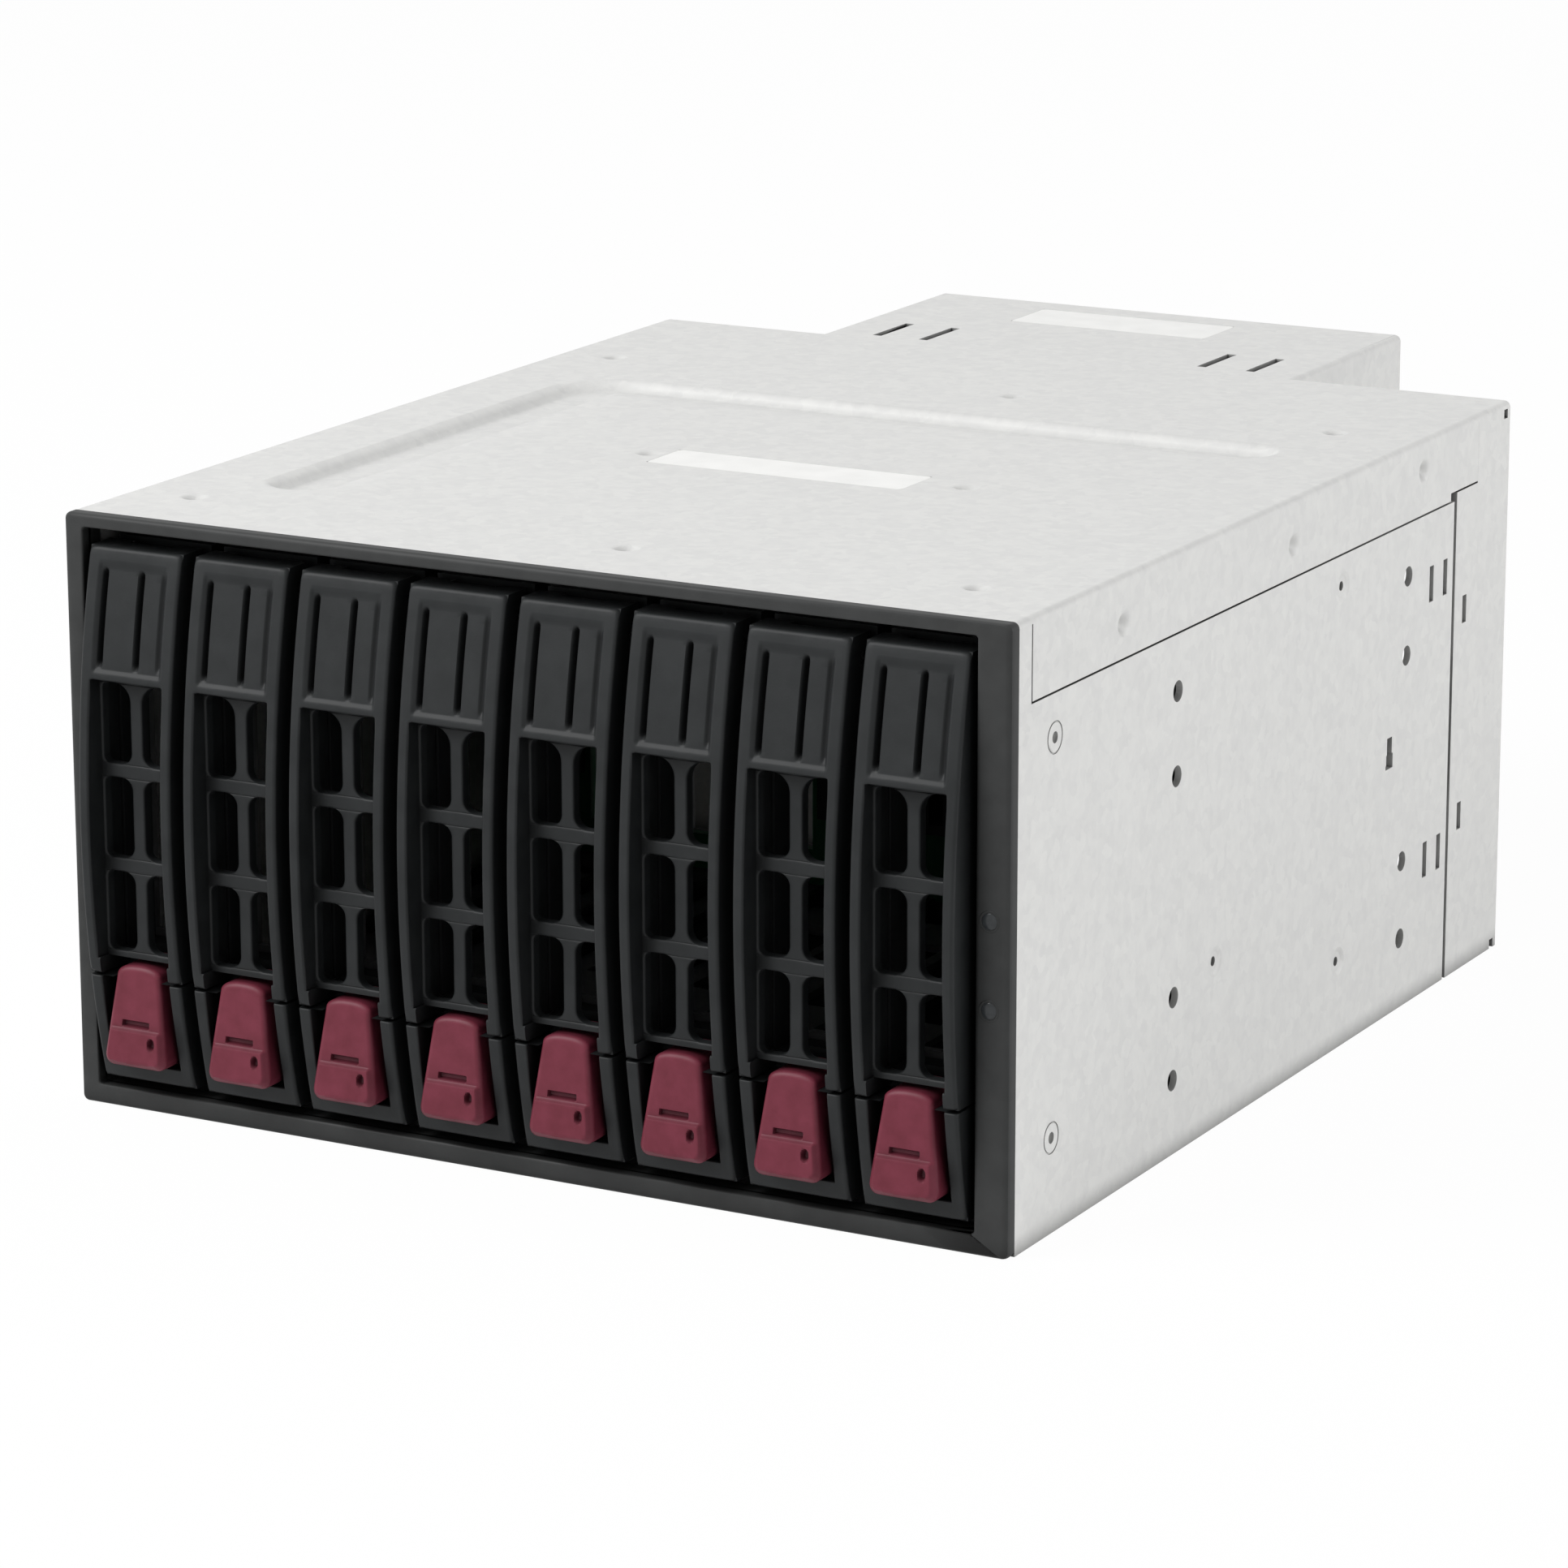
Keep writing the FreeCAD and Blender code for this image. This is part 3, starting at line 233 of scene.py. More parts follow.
def rounding(inside, radius):
    """How far a surface has dropped at a distance inside its edge, as on a quarter circle."""
    short = np.clip(radius - inside, 0, radius)
    return radius - np.sqrt(radius ** 2 - short ** 2)


def smooth(share):
    """Soft step from 0 to 1."""
    share = np.clip(share, 0, 1)
    return share * share * (3 - 2 * share)


def box_distance(x, z, low_x, high_x, low_z, high_z, radius):
    """Signed distance to a rectangle whose corners have the given radius, negative inside.
    The radius may differ from point to point."""
    over_x = np.abs(x - (low_x + high_x) / 2) - (high_x - low_x) / 2 + radius
    over_z = np.abs(z - (low_z + high_z) / 2) - (high_z - low_z) / 2 + radius
    outside = np.hypot(np.maximum(over_x, 0), np.maximum(over_z, 0))
    return outside + np.minimum(np.maximum(over_x, over_z), 0) - radius


def facing(x, y, z):
    """Grid of points from three grids of numbers that need not have the same shape yet."""
    return np.stack(np.broadcast_arrays(x, y, z), axis=-1).astype(float)


def middles(values):
    """Middle of each cell of a row of grid lines."""
    return (values[1:] + values[:-1]) / 2


def full_turn(count):
    """Even angles once round."""
    return np.linspace(0, 2 * math.pi, count, endpoint=False)


# %% [markdown]
# ## Finishes
#
# A finish is a small network of nodes round one Principled shader. Values that are the same all
# over sit on the shader itself. Only what changes over the surface, such as a grain or a mottle,
# comes through nodes, and it reads Object coordinates, so that its scale is a real length.

# %% Colours and nodes
# The values of a cloud at which its two shades stand, the strength of a grain's bumps, and the
# number of rays that look for near walls, where shade is painted into a crevice.
CLOUD_DARK, CLOUD_LIGHT, GRAIN_STRENGTH, PAINTED_SHADE_RAYS = 0.3, 0.7, 0.6, 8


def colour(code):
    """sRGB hex code as the linear colour that the shader wants."""
    values = [int(code[start:start + 2], 16) / 255 for start in (0, 2, 4)]
    return [value / 12.92 if value <= 0.04045 else ((value + 0.055) / 1.055) ** 2.4
            for value in values] + [1.0]


def add(tree, kind, inputs=None, **settings):
    """One node with its settings. Each input is a plain value or another node's output."""
    node = tree.nodes.new(kind)
    for name, value in settings.items():
        setattr(node, name, value)
    for name, value in (inputs or {}).items():
        socket = node.inputs[name]
        if isinstance(value, bpy.types.NodeSocket):
            tree.links.new(value, socket)
        else:
            socket.default_value = value
    return node


def finish(name, roughness, metallic=0.0, shine=0.5, **more):
    """New material with one Principled shader. Shine is how strongly it mirrors when seen from
    straight ahead: 0.5 is the shader's own value. Returns the material, tree and shader."""
    material = bpy.data.materials.new(name)
    material.use_nodes = True
    tree = material.node_tree
    tree.nodes.clear()
    shader = add(tree, "ShaderNodeBsdfPrincipled",
                 {"Roughness": roughness, "Metallic": metallic, "Specular IOR Level": shine,
                  **more})
    out = add(tree, "ShaderNodeOutputMaterial")
    tree.links.new(shader.outputs[0], out.inputs[0])
    return material, tree, shader


def shades(tree, shader, value, *stops):
    """Base colour that runs between two shades as a value runs between their two places."""
    ramp = add(tree, "ShaderNodeValToRGB", {"Fac": value})
    for element, (place, code) in zip(ramp.color_ramp.elements, stops):
        element.position, element.color = place, colour(code)
    tree.links.new(ramp.outputs[0], shader.inputs["Base Color"])


def mottle(tree, shader, size, dark, light, detail=3.0):
    """Cloudy change between two shades, with patches of about the given size in millimetres."""
    place = add(tree, "ShaderNodeTexCoord")
    cloud = add(tree, "ShaderNodeTexNoise", {
        "Vector": place.outputs["Object"], "Scale": 1 / (size * MM), "Detail": detail})
    shades(tree, shader, cloud.outputs[0], (CLOUD_DARK, dark), (CLOUD_LIGHT, light))


def grain(tree, shader, size, height):
    """Fine bumps of about the given size and height in millimetres."""
    place = add(tree, "ShaderNodeTexCoord")
    cloud = add(tree, "ShaderNodeTexNoise", {
        "Vector": place.outputs["Object"], "Scale": 1 / (size * MM), "Detail": 2.0})
    bump = add(tree, "ShaderNodeBump", {
        "Height": cloud.outputs[0], "Strength": GRAIN_STRENGTH, "Distance": height * MM})
    tree.links.new(bump.outputs[0], shader.inputs["Normal"])


def painted_crevice_shade(tree, shader, reach):
    """Painted shade: darkens the colour where walls stand closer than the reach in millimetres, so
    that seams, pits and the rims of holes read as dark lines."""
    source = shader.inputs["Base Color"].links[0].from_socket
    shade = add(tree, "ShaderNodeAmbientOcclusion", {"Color": source, "Distance": reach * MM},
                samples=PAINTED_SHADE_RAYS)
    tree.links.new(shade.outputs["Color"], shader.inputs["Base Color"])


def surface(name, roughness, patch, dark, light, grit=None, reach=None, detail=3.0, **more):
    """Material of one substance: patches of two shades, painted shade in crevices up to a reach,
    and grit of a size and height, all in millimetres."""
    material, tree, shader = finish(name, roughness, **more)
    mottle(tree, shader, patch, dark, light, detail)
    if reach:
        painted_crevice_shade(tree, shader, reach)
    if grit:
        grain(tree, shader, *grit)
    return material


# %% [markdown]
# ## Galvanised sheet steel
#
# The shell is cut from sheet that was dipped in zinc before it was folded. Zinc freezes in flat
# crystals, called spangle, which on thin sheet are a millimetre or two across and reflect light
# a little differently from each other. Cells of a Voronoi pattern stand for the crystals: each
# gets its own shade and its own roughness, and a soft noise over them makes the slight handling
# haze.

# %% Galvanised steel
SPANGLE, HAZE, WOBBLE = 1.8, 1.6, 0.004
# The pattern's values for the darkest, the lightest and the dullest zinc, then how much glossier
# and duller than its roughness the zinc gets, then the haze's bumps.
ZINC_DARK, ZINC_LIGHT, ZINC_DULL = 0.3, 1.2, 1.5
GLOSSIER, DULLER, HAZE_STRENGTH, HAZE_HIGH = 0.06, 0.08, 0.25, 0.03


def galvanised(name, dark, light, roughness, reach):
    """Zinc-coated sheet with a faint spangle. It reads as pale, soft and metallic, and shade is
    painted into it where walls stand closer than the reach in millimetres."""
    material, tree, shader = finish(name, roughness, metallic=0.2, shine=0.25)
    place = add(tree, "ShaderNodeTexCoord")
    wobble = add(tree, "ShaderNodeTexNoise", {
        "Vector": place.outputs["Object"], "Scale": 1 / (2 * SPANGLE * MM), "Detail": 3.0})
    shift = add(tree, "ShaderNodeVectorMath", {0: wobble.outputs["Color"], 1: (WOBBLE,) * 3},
                operation="MULTIPLY")
    spot = add(tree, "ShaderNodeVectorMath", {0: place.outputs["Object"], 1: shift.outputs[0]},
               operation="ADD")
    cells = add(tree, "ShaderNodeTexVoronoi", {
        "Vector": spot.outputs[0], "Scale": 1 / (SPANGLE * MM)})
    haze = add(tree, "ShaderNodeTexNoise", {
        "Vector": place.outputs["Object"], "Scale": 1 / (HAZE * MM), "Detail": 4.0})
    crystal = add(tree, "ShaderNodeSeparateColor", {0: cells.outputs["Color"]})
    blend = add(tree, "ShaderNodeMath", {0: crystal.outputs[0], 1: 0.5, 2: haze.outputs[0]},
                operation="MULTIPLY_ADD")
    shade = add(tree, "ShaderNodeMapRange", {
        "Value": blend.outputs[0], "From Min": ZINC_DARK, "From Max": ZINC_LIGHT})
    tone = add(tree, "ShaderNodeMix", {"Factor": shade.outputs[0], 6: colour(dark),
                                       7: colour(light)}, data_type="RGBA")
    tree.links.new(tone.outputs[2], shader.inputs["Base Color"])
    painted_crevice_shade(tree, shader, reach)
    gloss = add(tree, "ShaderNodeMapRange", {
        "Value": blend.outputs[0], "From Min": 0.0, "From Max": ZINC_DULL,
        "To Min": roughness - GLOSSIER, "To Max": roughness + DULLER})
    tree.links.new(gloss.outputs[0], shader.inputs["Roughness"])
    bump = add(tree, "ShaderNodeBump", {
        "Height": haze.outputs[0], "Strength": HAZE_STRENGTH, "Distance": HAZE_HIGH * MM})
    tree.links.new(bump.outputs[0], shader.inputs["Normal"])
    return material


# Cover, pan, hood and fan duct: spangled zinc, pale grey with a faint mottle, and painted shade
# in crevices up to 3 mm.
shell_steel = galvanised("galvanised_sheet_steel", "D6D6D5", "E1E1DF",
                         roughness=0.55, reach=3.0)
# Carriers and backplane bracket: the same zinc on thinner cold-rolled strip, painted much darker
# than the shell's as painted shade for the inside of the cage, with painted shade in crevices up
# to 14 mm.
dark_painted_strip_steel = galvanised("galvanised_strip_steel", "77787A", "8B8C8D",
                         roughness=0.45, reach=14.0)
print("steels:", shell_steel.name, dark_painted_strip_steel.name)

# %% [markdown]
# ## Moulded plastics and small metals
#
# The front is moulded in ABS from tools with a spark-eroded texture, which scatters the light
# and hides sink marks. The buttons are the same resin in burgundy, the colour that marks a
# part as safe to pull while the machine is running.

# %% Plastics, wire, board, label
# Where a reach is given, shade is painted into crevices up to that depth in millimetres.
# Ring: black textured ABS, matt with a wide soft sheen on its edges.
black_abs = surface("textured_black_ABS", 0.55, 3.0, "303131", "363737",
                    grit=(0.35, 0.02), reach=3.0, shine=0.25)

# Handles and carrier fronts: charcoal ABS. Its base is darker than the ring's, but the grips
# catch the high lamp and read a little paler than the ring.
charcoal_abs = surface("textured_charcoal_ABS", 0.5, 4.0, "1F2122", "262829",
                       grit=(0.3, 0.02), reach=3.0, shine=0.22)

# Release buttons: burgundy ABS with a finer texture, so that it keeps a little shine.
burgundy_abs = surface("burgundy_ABS", 0.45, 2.5, "652633", "712E3D",
                       grit=(0.3, 0.015), reach=2.0, shine=0.22)

# Comb guides and connectors: black glass-filled nylon, duller and slightly streaky.
nylon = surface("glass_filled_black_nylon", 0.6, 1.2, "151515", "1F1F1F",
                grit=(0.2, 0.02), detail=5.0, shine=0.2)

# Fan casing and rotor: black PBT with a satin gloss.
fan_plastic = surface("satin_black_PBT", 0.38, 6.0, "121213", "191A1A", grit=(0.5, 0.01))

# Light pipes: smoked polycarbonate, unlit, so only a small dark gleam beside the matt ring.
light_pipe = surface("smoked_polycarbonate", 0.2, 1.0, "2E3133", "3A3D3F", shine=0.3)

# Hinge pins: ground stainless rod, a soft mirror with a faint mottle from the grinding.
pin_steel = surface("ground_stainless_rod", 0.25, 0.6, "AEB0B2", "C6C8CA", metallic=1.0)

# Finger guard and screws: steel with bright zinc plate, shinier than the rod and a touch uneven.
bright_zinc = surface("bright_zinc_plate", 0.22, 2.0, "C4C6C9", "DADCDE",
                      grit=(0.4, 0.005), metallic=1.0)

# Bare stickers: coated white paper, a touch whiter and flatter than the zinc round it.
label_paper = surface("coated_white_label_paper", 0.55, 5.0, "F1F1EF", "F8F8F6")

# Backplane: woven glass board under green solder mask, which shows its copper faintly. The wave
# node multiplies its scale by a factor of its own, which is divided out here. TRACK_RUN is then
# one radian of the wave in millimetres, and the bands repeat every 2 pi of them.
WAVE_FACTOR, TRACK_RUN = 20, 2.4
board_mask, tree, shader = finish("green_solder_mask", roughness=0.3,
                                  **{"Coat Weight": 0.4})
place = add(tree, "ShaderNodeTexCoord")
tracks = add(tree, "ShaderNodeTexWave", {
    "Vector": place.outputs["Object"], "Scale": 1 / (TRACK_RUN * MM) / WAVE_FACTOR,
    "Distortion": 2.0},
    bands_direction="X")
shades(tree, shader, tracks.outputs["Fac"], (0.45, "124A2B"), (0.55, "1C6338"))
print("materials:", len(bpy.data.materials))

# %% [markdown]
# ## Pieces that ride on the CAD bodies
#
# A finished piece is one mesh with its place in its points. It rides on a body of the CAD model,
# so that it moves when that body moves, and it may stand for a CAD node, which is then hidden.
# A CAD node whose shape is right keeps its mesh and only gets a finish.


def put(name, data):
    """New object in the scene."""
    made = bpy.data.objects.new(name, data)
    scene.collection.objects.link(made)
    return made


def mesh_of(name, shape):
    """New mesh, in metres, from the points in millimetres and the faces of a shape."""
    mesh = bpy.data.meshes.new(name)
    mesh.from_pydata((shape[0] * MM).tolist(), [], shape[1])
    return mesh


def coat(mesh, material):
    """One finish all over a mesh."""
    mesh.materials.clear()
    mesh.materials.append(material)


def settle(mesh, material, body, *stands_for, crease=32):
    """One object from a finished mesh, with its material, body, slot and the nodes it replaces.
    Edges sharper than the crease, in degrees, stay sharp. Normals are weighted by area, so that
    flat ground stays flat beside small round edges."""
    coat(mesh, material)
    mesh.polygons.foreach_set("use_smooth", np.ones(len(mesh.polygons), bool))
    mesh.set_sharp_from_angle(angle=math.radians(crease))
    made = put(mesh.name, mesh)
    weighted = made.modifiers.new("weighted normals", "WEIGHTED_NORMAL")
    weighted.keep_sharp = True
    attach(made, body)
    if stands_for:
        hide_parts(*stands_for)
    return made


def piece(name, shape, material, body, *stands_for, crease=32):
    """One object from a shape in millimetres."""
    return settle(mesh_of(name, shape), material, body, *stands_for, crease=crease)


def in_each_bay(name, shape, material, body, node):
    """The same shape in every bay. It rides on that bay's body and stands for its CAD node."""
    for bay in bays:
        piece(f"{name}_{bay}", moved(shape, (bay_middle[bay], 0, 0)), material, f"{body}_{bay}",
              f"{node}_{bay}")
    print(f"{name}:", len(shape[1]), "faces each")


# %% CAD nodes that keep their mesh
DRESSED = {
    shell_steel: ["rear_hood"],
    dark_painted_strip_steel: ["backplane_bracket", *[f"carrier_{bay}" for bay in bays]],
    nylon: ["lower_guide", "upper_guide", "drive_sockets", "power_sockets", "data_sockets"],
    board_mask: ["backplane_board", "status_led_board"],
    fan_plastic: ["fan_frame", "fan_rotor"],
    pin_steel: [f"handle_pin_{bay}" for bay in bays],
}
for material, nodes in DRESSED.items():
    for node in nodes:
        coat(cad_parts[node].data, material)
print("dressed:", sum(len(nodes) for nodes in DRESSED.values()), "CAD nodes")

# %% [markdown]
# ## The pressed steel cover
#
# The cover is one sheet, folded down at both sides. A bead in the shape of an L is pressed into
# its top, which keeps a large thin sheet from drumming, and eight small dimples mark where it is
# spot welded to the frame below. Three more are on the right flange. The sheet is described on
# the flat: one direction follows the sheet from the lower edge of one flange, over the fold and
# the top, to the other flange. The other direction is its depth. Bead and dimples then push
# points along the sheet's normal.

# %% Cover: bead and dimples
SHEET = 1.0
BEAD_DEEP, BEAD_HALF, BEAD_SLOPE = 1.6, 5.6, 2.6
BEAD_LEG = shell_low[0] + 18.7
BEAD_START, BEAD_CROSS, BEAD_END = 30.5, 112.8, HALF - 20.2
BEAD_TURN, GROUP, FAR = 6.0, 16, 1e9
WELD_RADIUS, WELD_DEEP = 2.1, 1.0
LEG_POINTS, TURN_POINTS, CROSS_POINTS = 90, 16, 120
COVER_WELDS = np.array([(-62.5, 14.6), (7.1, 14.4), (59.2, 15.2), (-21.7, 70.8), (29.3, 71.1),
                        (-63.4, 132.8), (5.5, 133.7), (59.5, 130.9)])
FLANGE_WELDS = np.array([(31.0, 78.3), (86.1, 78.2), (132.5, 80.3)])


def bead_path():
    """Middle line of the bead: a leg towards the rear, a quarter turn and a leg to the right."""
    leg = np.linspace(BEAD_START, BEAD_CROSS - BEAD_TURN, LEG_POINTS)
    swing = np.linspace(math.pi, math.pi / 2, TURN_POINTS)
    cross = np.linspace(BEAD_LEG + BEAD_TURN, BEAD_END, CROSS_POINTS)
    x = np.concatenate([np.full_like(leg, BEAD_LEG), BEAD_LEG + BEAD_TURN * (1 + np.cos(swing)),
                        cross])
    y = np.concatenate([leg, BEAD_CROSS - BEAD_TURN * (1 - np.sin(swing)),
                        np.full_like(cross, BEAD_CROSS)])
    return x, y


def bead_depth(x, y):
    """Depth of the bead: full on its flat floor, and a soft slope up to the sheet, by the
    distance to the bead's middle line. The line's points are taken a group at a time, which
    spares memory."""
    path_x, path_y = bead_path()
    near = np.full(x.shape, FAR)
    for start in range(0, len(path_x), GROUP):
        gap = np.hypot(x[..., None] - path_x[start:start + GROUP],
                       y[..., None] - path_y[start:start + GROUP])
        near = np.minimum(near, gap.min(axis=-1))
    return BEAD_DEEP * smooth((BEAD_HALF - near) / BEAD_SLOPE)


def dimple_depth(a, b, spots):
    """Depth of round dimples about spots: a bowl with a soft lip."""
    depth = np.zeros(np.broadcast(a, b).shape)
    for spot_a, spot_b in spots:
        share = 1 - np.hypot(a - spot_a, b - spot_b) / WELD_RADIUS
        depth = depth + WELD_DEEP * smooth(share)
    return depth


# %% Cover: the folded sheet
FOLD = SHEET
FLANGE_LOW, FLANGE_FRONT, FLANGE_END = HIGH - 11.2, 3.9, 153.28
FLANGE_STEP, STEP_START = 1.2, 143.0
COVER_STEP, RISE_STEP, FOLD_POINTS, LABEL_SEAT = 4.0, 2.5, 6, 0.08
# Where the sheet's normal lies along an axis by this share, the sheet is flat and not in its fold.
FLAT = 0.99
TOP_LABEL = (-19.0, 22.0, 65.2, 75.0)


def cover_lines():
    """Grid lines on the flat: closer at the bead, the dimples, the label and the flange ends."""
    half = BEAD_HALF / 2
    x_lines = lines(-HALF + FOLD, HALF - FOLD, COVER_STEP, about(BEAD_LEG, BEAD_HALF),
                    about(BEAD_LEG, BEAD_HALF - 1), about(BEAD_END + half, half),
                    about(COVER_WELDS[:, 0], WELD_RADIUS), step_at(*TOP_LABEL[:2]))
    y_lines = lines(0, shell_high[1], COVER_STEP, about(BEAD_CROSS, BEAD_HALF),
                    about(BEAD_CROSS, BEAD_HALF - 1), about(BEAD_START - half, half),
                    about(COVER_WELDS[:, 1], WELD_RADIUS), about(FLANGE_WELDS[:, 0], WELD_RADIUS),
                    step_at(*TOP_LABEL[2:]), FLANGE_FRONT, STEP_START, FLANGE_END)
    return x_lines, y_lines


def cover():
    """Folded sheet. Across, it runs up one flange, round a quarter circle, over the top and down
    the other flange. The second surface lies one sheet thickness inside the first."""
    x_lines, y_lines = cover_lines()
    rise = lines(FLANGE_LOW, HIGH - FOLD, RISE_STEP, FLANGE_LOW + FLANGE_STEP,
                 about(FLANGE_WELDS[:, 1], WELD_RADIUS))
    turn = np.linspace(math.pi, math.pi / 2, FOLD_POINTS)[1:-1]
    across = np.concatenate([np.full(len(rise), -HALF), -HALF + FOLD * (1 + np.cos(turn)), x_lines,
                             HALF - FOLD * (1 + np.cos(turn[::-1])), np.full(len(rise), HALF)])
    up = np.concatenate([rise, HIGH - FOLD * (1 - np.sin(turn)), np.full(len(x_lines), HIGH),
                         HIGH - FOLD * (1 - np.sin(turn[::-1])), rise[::-1]])
    normal_x = np.concatenate([np.full(len(rise), -1.0), np.cos(turn), np.zeros(len(x_lines)),
                               -np.cos(turn[::-1]), np.full(len(rise), 1.0)])
    normal_z = np.sqrt(1 - normal_x ** 2)
    x, y = across[:, None], y_lines[None, :]
    top = normal_z > FLAT
    seat = (x > TOP_LABEL[0]) & (x < TOP_LABEL[1]) & (y > TOP_LABEL[2]) & (y < TOP_LABEL[3])
    deep = np.where(top[:, None], bead_depth(*np.broadcast_arrays(x, y))
                    + dimple_depth(x, y, COVER_WELDS) + LABEL_SEAT * seat, 0)
    deep = deep + np.where(normal_x[:, None] > FLAT,
                           dimple_depth(y, up[:, None], FLANGE_WELDS), 0)
    front = facing(x - normal_x[:, None] * deep, y, up[:, None] - normal_z[:, None] * deep)
    behind = facing(x - normal_x[:, None] * (deep + SHEET), y,
                    up[:, None] - normal_z[:, None] * (deep + SHEET))
    cell_up, cell_y = middles(up)[:, None], middles(y_lines)[None, :]
    on_flange = cell_up < HIGH - FOLD
    keep = ~(on_flange & ((cell_y < FLANGE_FRONT) | (cell_y > FLANGE_END)))
    keep &= ~((cell_up < FLANGE_LOW + FLANGE_STEP) & (cell_y > STEP_START))
    return slab(front, behind, keep)


top_cover = piece("cover_sheet", cover(), shell_steel, "cage", "top_cover", crease=40)
print("cover:", len(top_cover.data.polygons), "faces")

# %% [markdown]
# ## The front ring and its two lights
#
# The ring is moulded in one piece and plugs into the mouth of the shell. Its face is a plate
# between a rectangle with rounded corners and the mouth of the bays, so the plate is described
# by how far round and how far inwards a point lies. Two light pipes come through its right side.

# %% Ring
STRIP_LEFT, STRIP_LOW, STRIP_RIGHT, STRIP_HIGH = 3.0, 2.9, 5.0, 1.9
mouth_low = np.array([ring_low[0] + STRIP_LEFT, STRIP_LOW])
mouth_high = np.array([ring_high[0] - STRIP_RIGHT, HIGH - STRIP_HIGH])
RING_FACE, RING_CORNER, RING_ROUND = ring_low[1], 0.9, 0.7
MOUTH_CORNER, MOUTH_ROUND = 0.5, 0.35
SKIRT_START, SKIRT_END, SKIRT_IN = -0.5, ring_high[1], 1.2
SKIRT_CORNER, SKIRT_ROUND = 0.4, 0.1
CORNER_POINTS, SIDE_POINTS, PLATE_STEP = 6, 12, 0.2


def rounded_loop(low, high, radius):
    """Points once round a rectangle whose corners are quarter circles: six on each corner and
    twelve between two corners."""
    turns = np.linspace(0, math.pi / 2, CORNER_POINTS)
    points = []
    spots = ((1, -1, -math.pi / 2), (1, 1, 0), (-1, 1, math.pi / 2), (-1, -1, math.pi))
    for side_x, side_z, first in spots:
        centre = [(high[0] if side_x > 0 else low[0]) - side_x * radius,
                  (high[1] if side_z > 0 else low[1]) - side_z * radius]
        points.append(np.stack([centre[0] + radius * np.cos(turns + first),
                                centre[1] + radius * np.sin(turns + first)], axis=1))
    loop = []
    for index in range(4):
        loop.append(points[index])
        share = np.linspace(0, 1, SIDE_POINTS + 2)[1:-1, None]
        start, end = points[index][-1], points[(index + 1) % 4][0]
        loop.append(start + (end - start) * share)
    return np.concatenate(loop)


def ring_plate(outer, inner, front, behind, outer_round, inner_round):
    """Plate between two loops. Its face falls away at both edges as on a quarter circle."""
    width = np.linalg.norm(outer - inner, axis=1).min()
    share = lines(0, 1, PLATE_STEP, rim(0, 1, outer_round / width),
                  rim(1, -1, inner_round / width))
    flat = outer[:, None] + (inner - outer)[:, None] * share[None, :, None]
    flat = np.concatenate([flat, flat[:1]])
    gap = np.linalg.norm(flat - flat[:, :1], axis=2)
    other = np.linalg.norm(flat - flat[:, -1:], axis=2)
    drop = np.maximum(rounding(gap, outer_round), rounding(other, inner_round))
    face_points = facing(flat[..., 0], front + drop, flat[..., 1])
    back_points = facing(flat[..., 0], behind, flat[..., 1])
    return slab(face_points, back_points, np.ones((len(flat) - 1, len(share) - 1), bool))


corner_low, corner_high = np.array([ring_low[0], 0.0]), np.array([ring_high[0], HIGH])
outer_loop = rounded_loop(corner_low, corner_high, RING_CORNER)
mouth_loop = rounded_loop(mouth_low, mouth_high, MOUTH_CORNER)
skirt_loop = rounded_loop(corner_low + SKIRT_IN, corner_high - SKIRT_IN, SKIRT_CORNER)
ring = gather(ring_plate(outer_loop, mouth_loop, RING_FACE, 0.0, RING_ROUND, MOUTH_ROUND),
              ring_plate(skirt_loop, mouth_loop, SKIRT_START, SKIRT_END, SKIRT_ROUND,
                         SKIRT_ROUND))
piece("ring_moulding", ring, black_abs, "cage", "front_bezel")

# %% Light pipes
LENS_RADIUS, LENS_HALF = 1.15, 1.0
PIPE_SUNK, DOME_HIGH, DOME_POINTS = 0.05, 0.2, 6
# The collar's section: how much wider than the pipe, and how deep from the ring's face.
COLLAR = ((0.35, 0.3), (0.35, 0.0), (0.25, -0.08), (0.1, -0.08), (0.02, 0.02))
lens_low, lens_high = span("status_lenses")
LENS_X = (lens_low[0] + lens_high[0]) / 2
LENS_PLACES = (lens_low[2] + LENS_HALF, lens_high[2] - LENS_HALF)


def turned(profile, x, z, around=24, closed=False):
    """Solid of revolution about a line that runs front to back: a profile of (radius, depth)."""
    turn = full_turn(around)
    radius, depth = np.array(profile, float).T
    return tube(facing(x + radius[:, None] * np.cos(turn), depth[:, None],
                       z + radius[:, None] * np.sin(turn)), closed)


dome = np.linspace(0, math.pi / 2, DOME_POINTS)
PIPE_FACE = RING_FACE + PIPE_SUNK
pipe_profile = [(LENS_RADIUS, SKIRT_END), (LENS_RADIUS, PIPE_FACE)] + [
    (LENS_RADIUS * math.cos(turn), PIPE_FACE - DOME_HIGH * math.sin(turn)) for turn in dome[1:-1]]
pipes = gather(*[turned(pipe_profile, LENS_X, place) for place in LENS_PLACES])
piece("light_pipes", pipes, light_pipe, "cage", "status_lenses")
collar_profile = [(LENS_RADIUS + wider, RING_FACE + deep) for wider, deep in COLLAR]
collars = gather(*[turned(collar_profile, LENS_X, place) for place in LENS_PLACES])
piece("light_collars", collars, black_abs, "cage")
print("lights at", LENS_X, LENS_PLACES)

# %% [markdown]
# ## The carrier's handle
#
# Each handle is a bowed lever. Seen from the side its face is a shallow arc, and seen from above
# it has a ridge at each side with a sunken grille between them. Above the grille is the finger
# grip, slightly dished, with two deep grooves and a faint third. All of this is a height
# over a flat drawing, so the face is worked out as one formula on a grid, and so is the back,
# with its hollow and the ears that clip over the hinge pin.

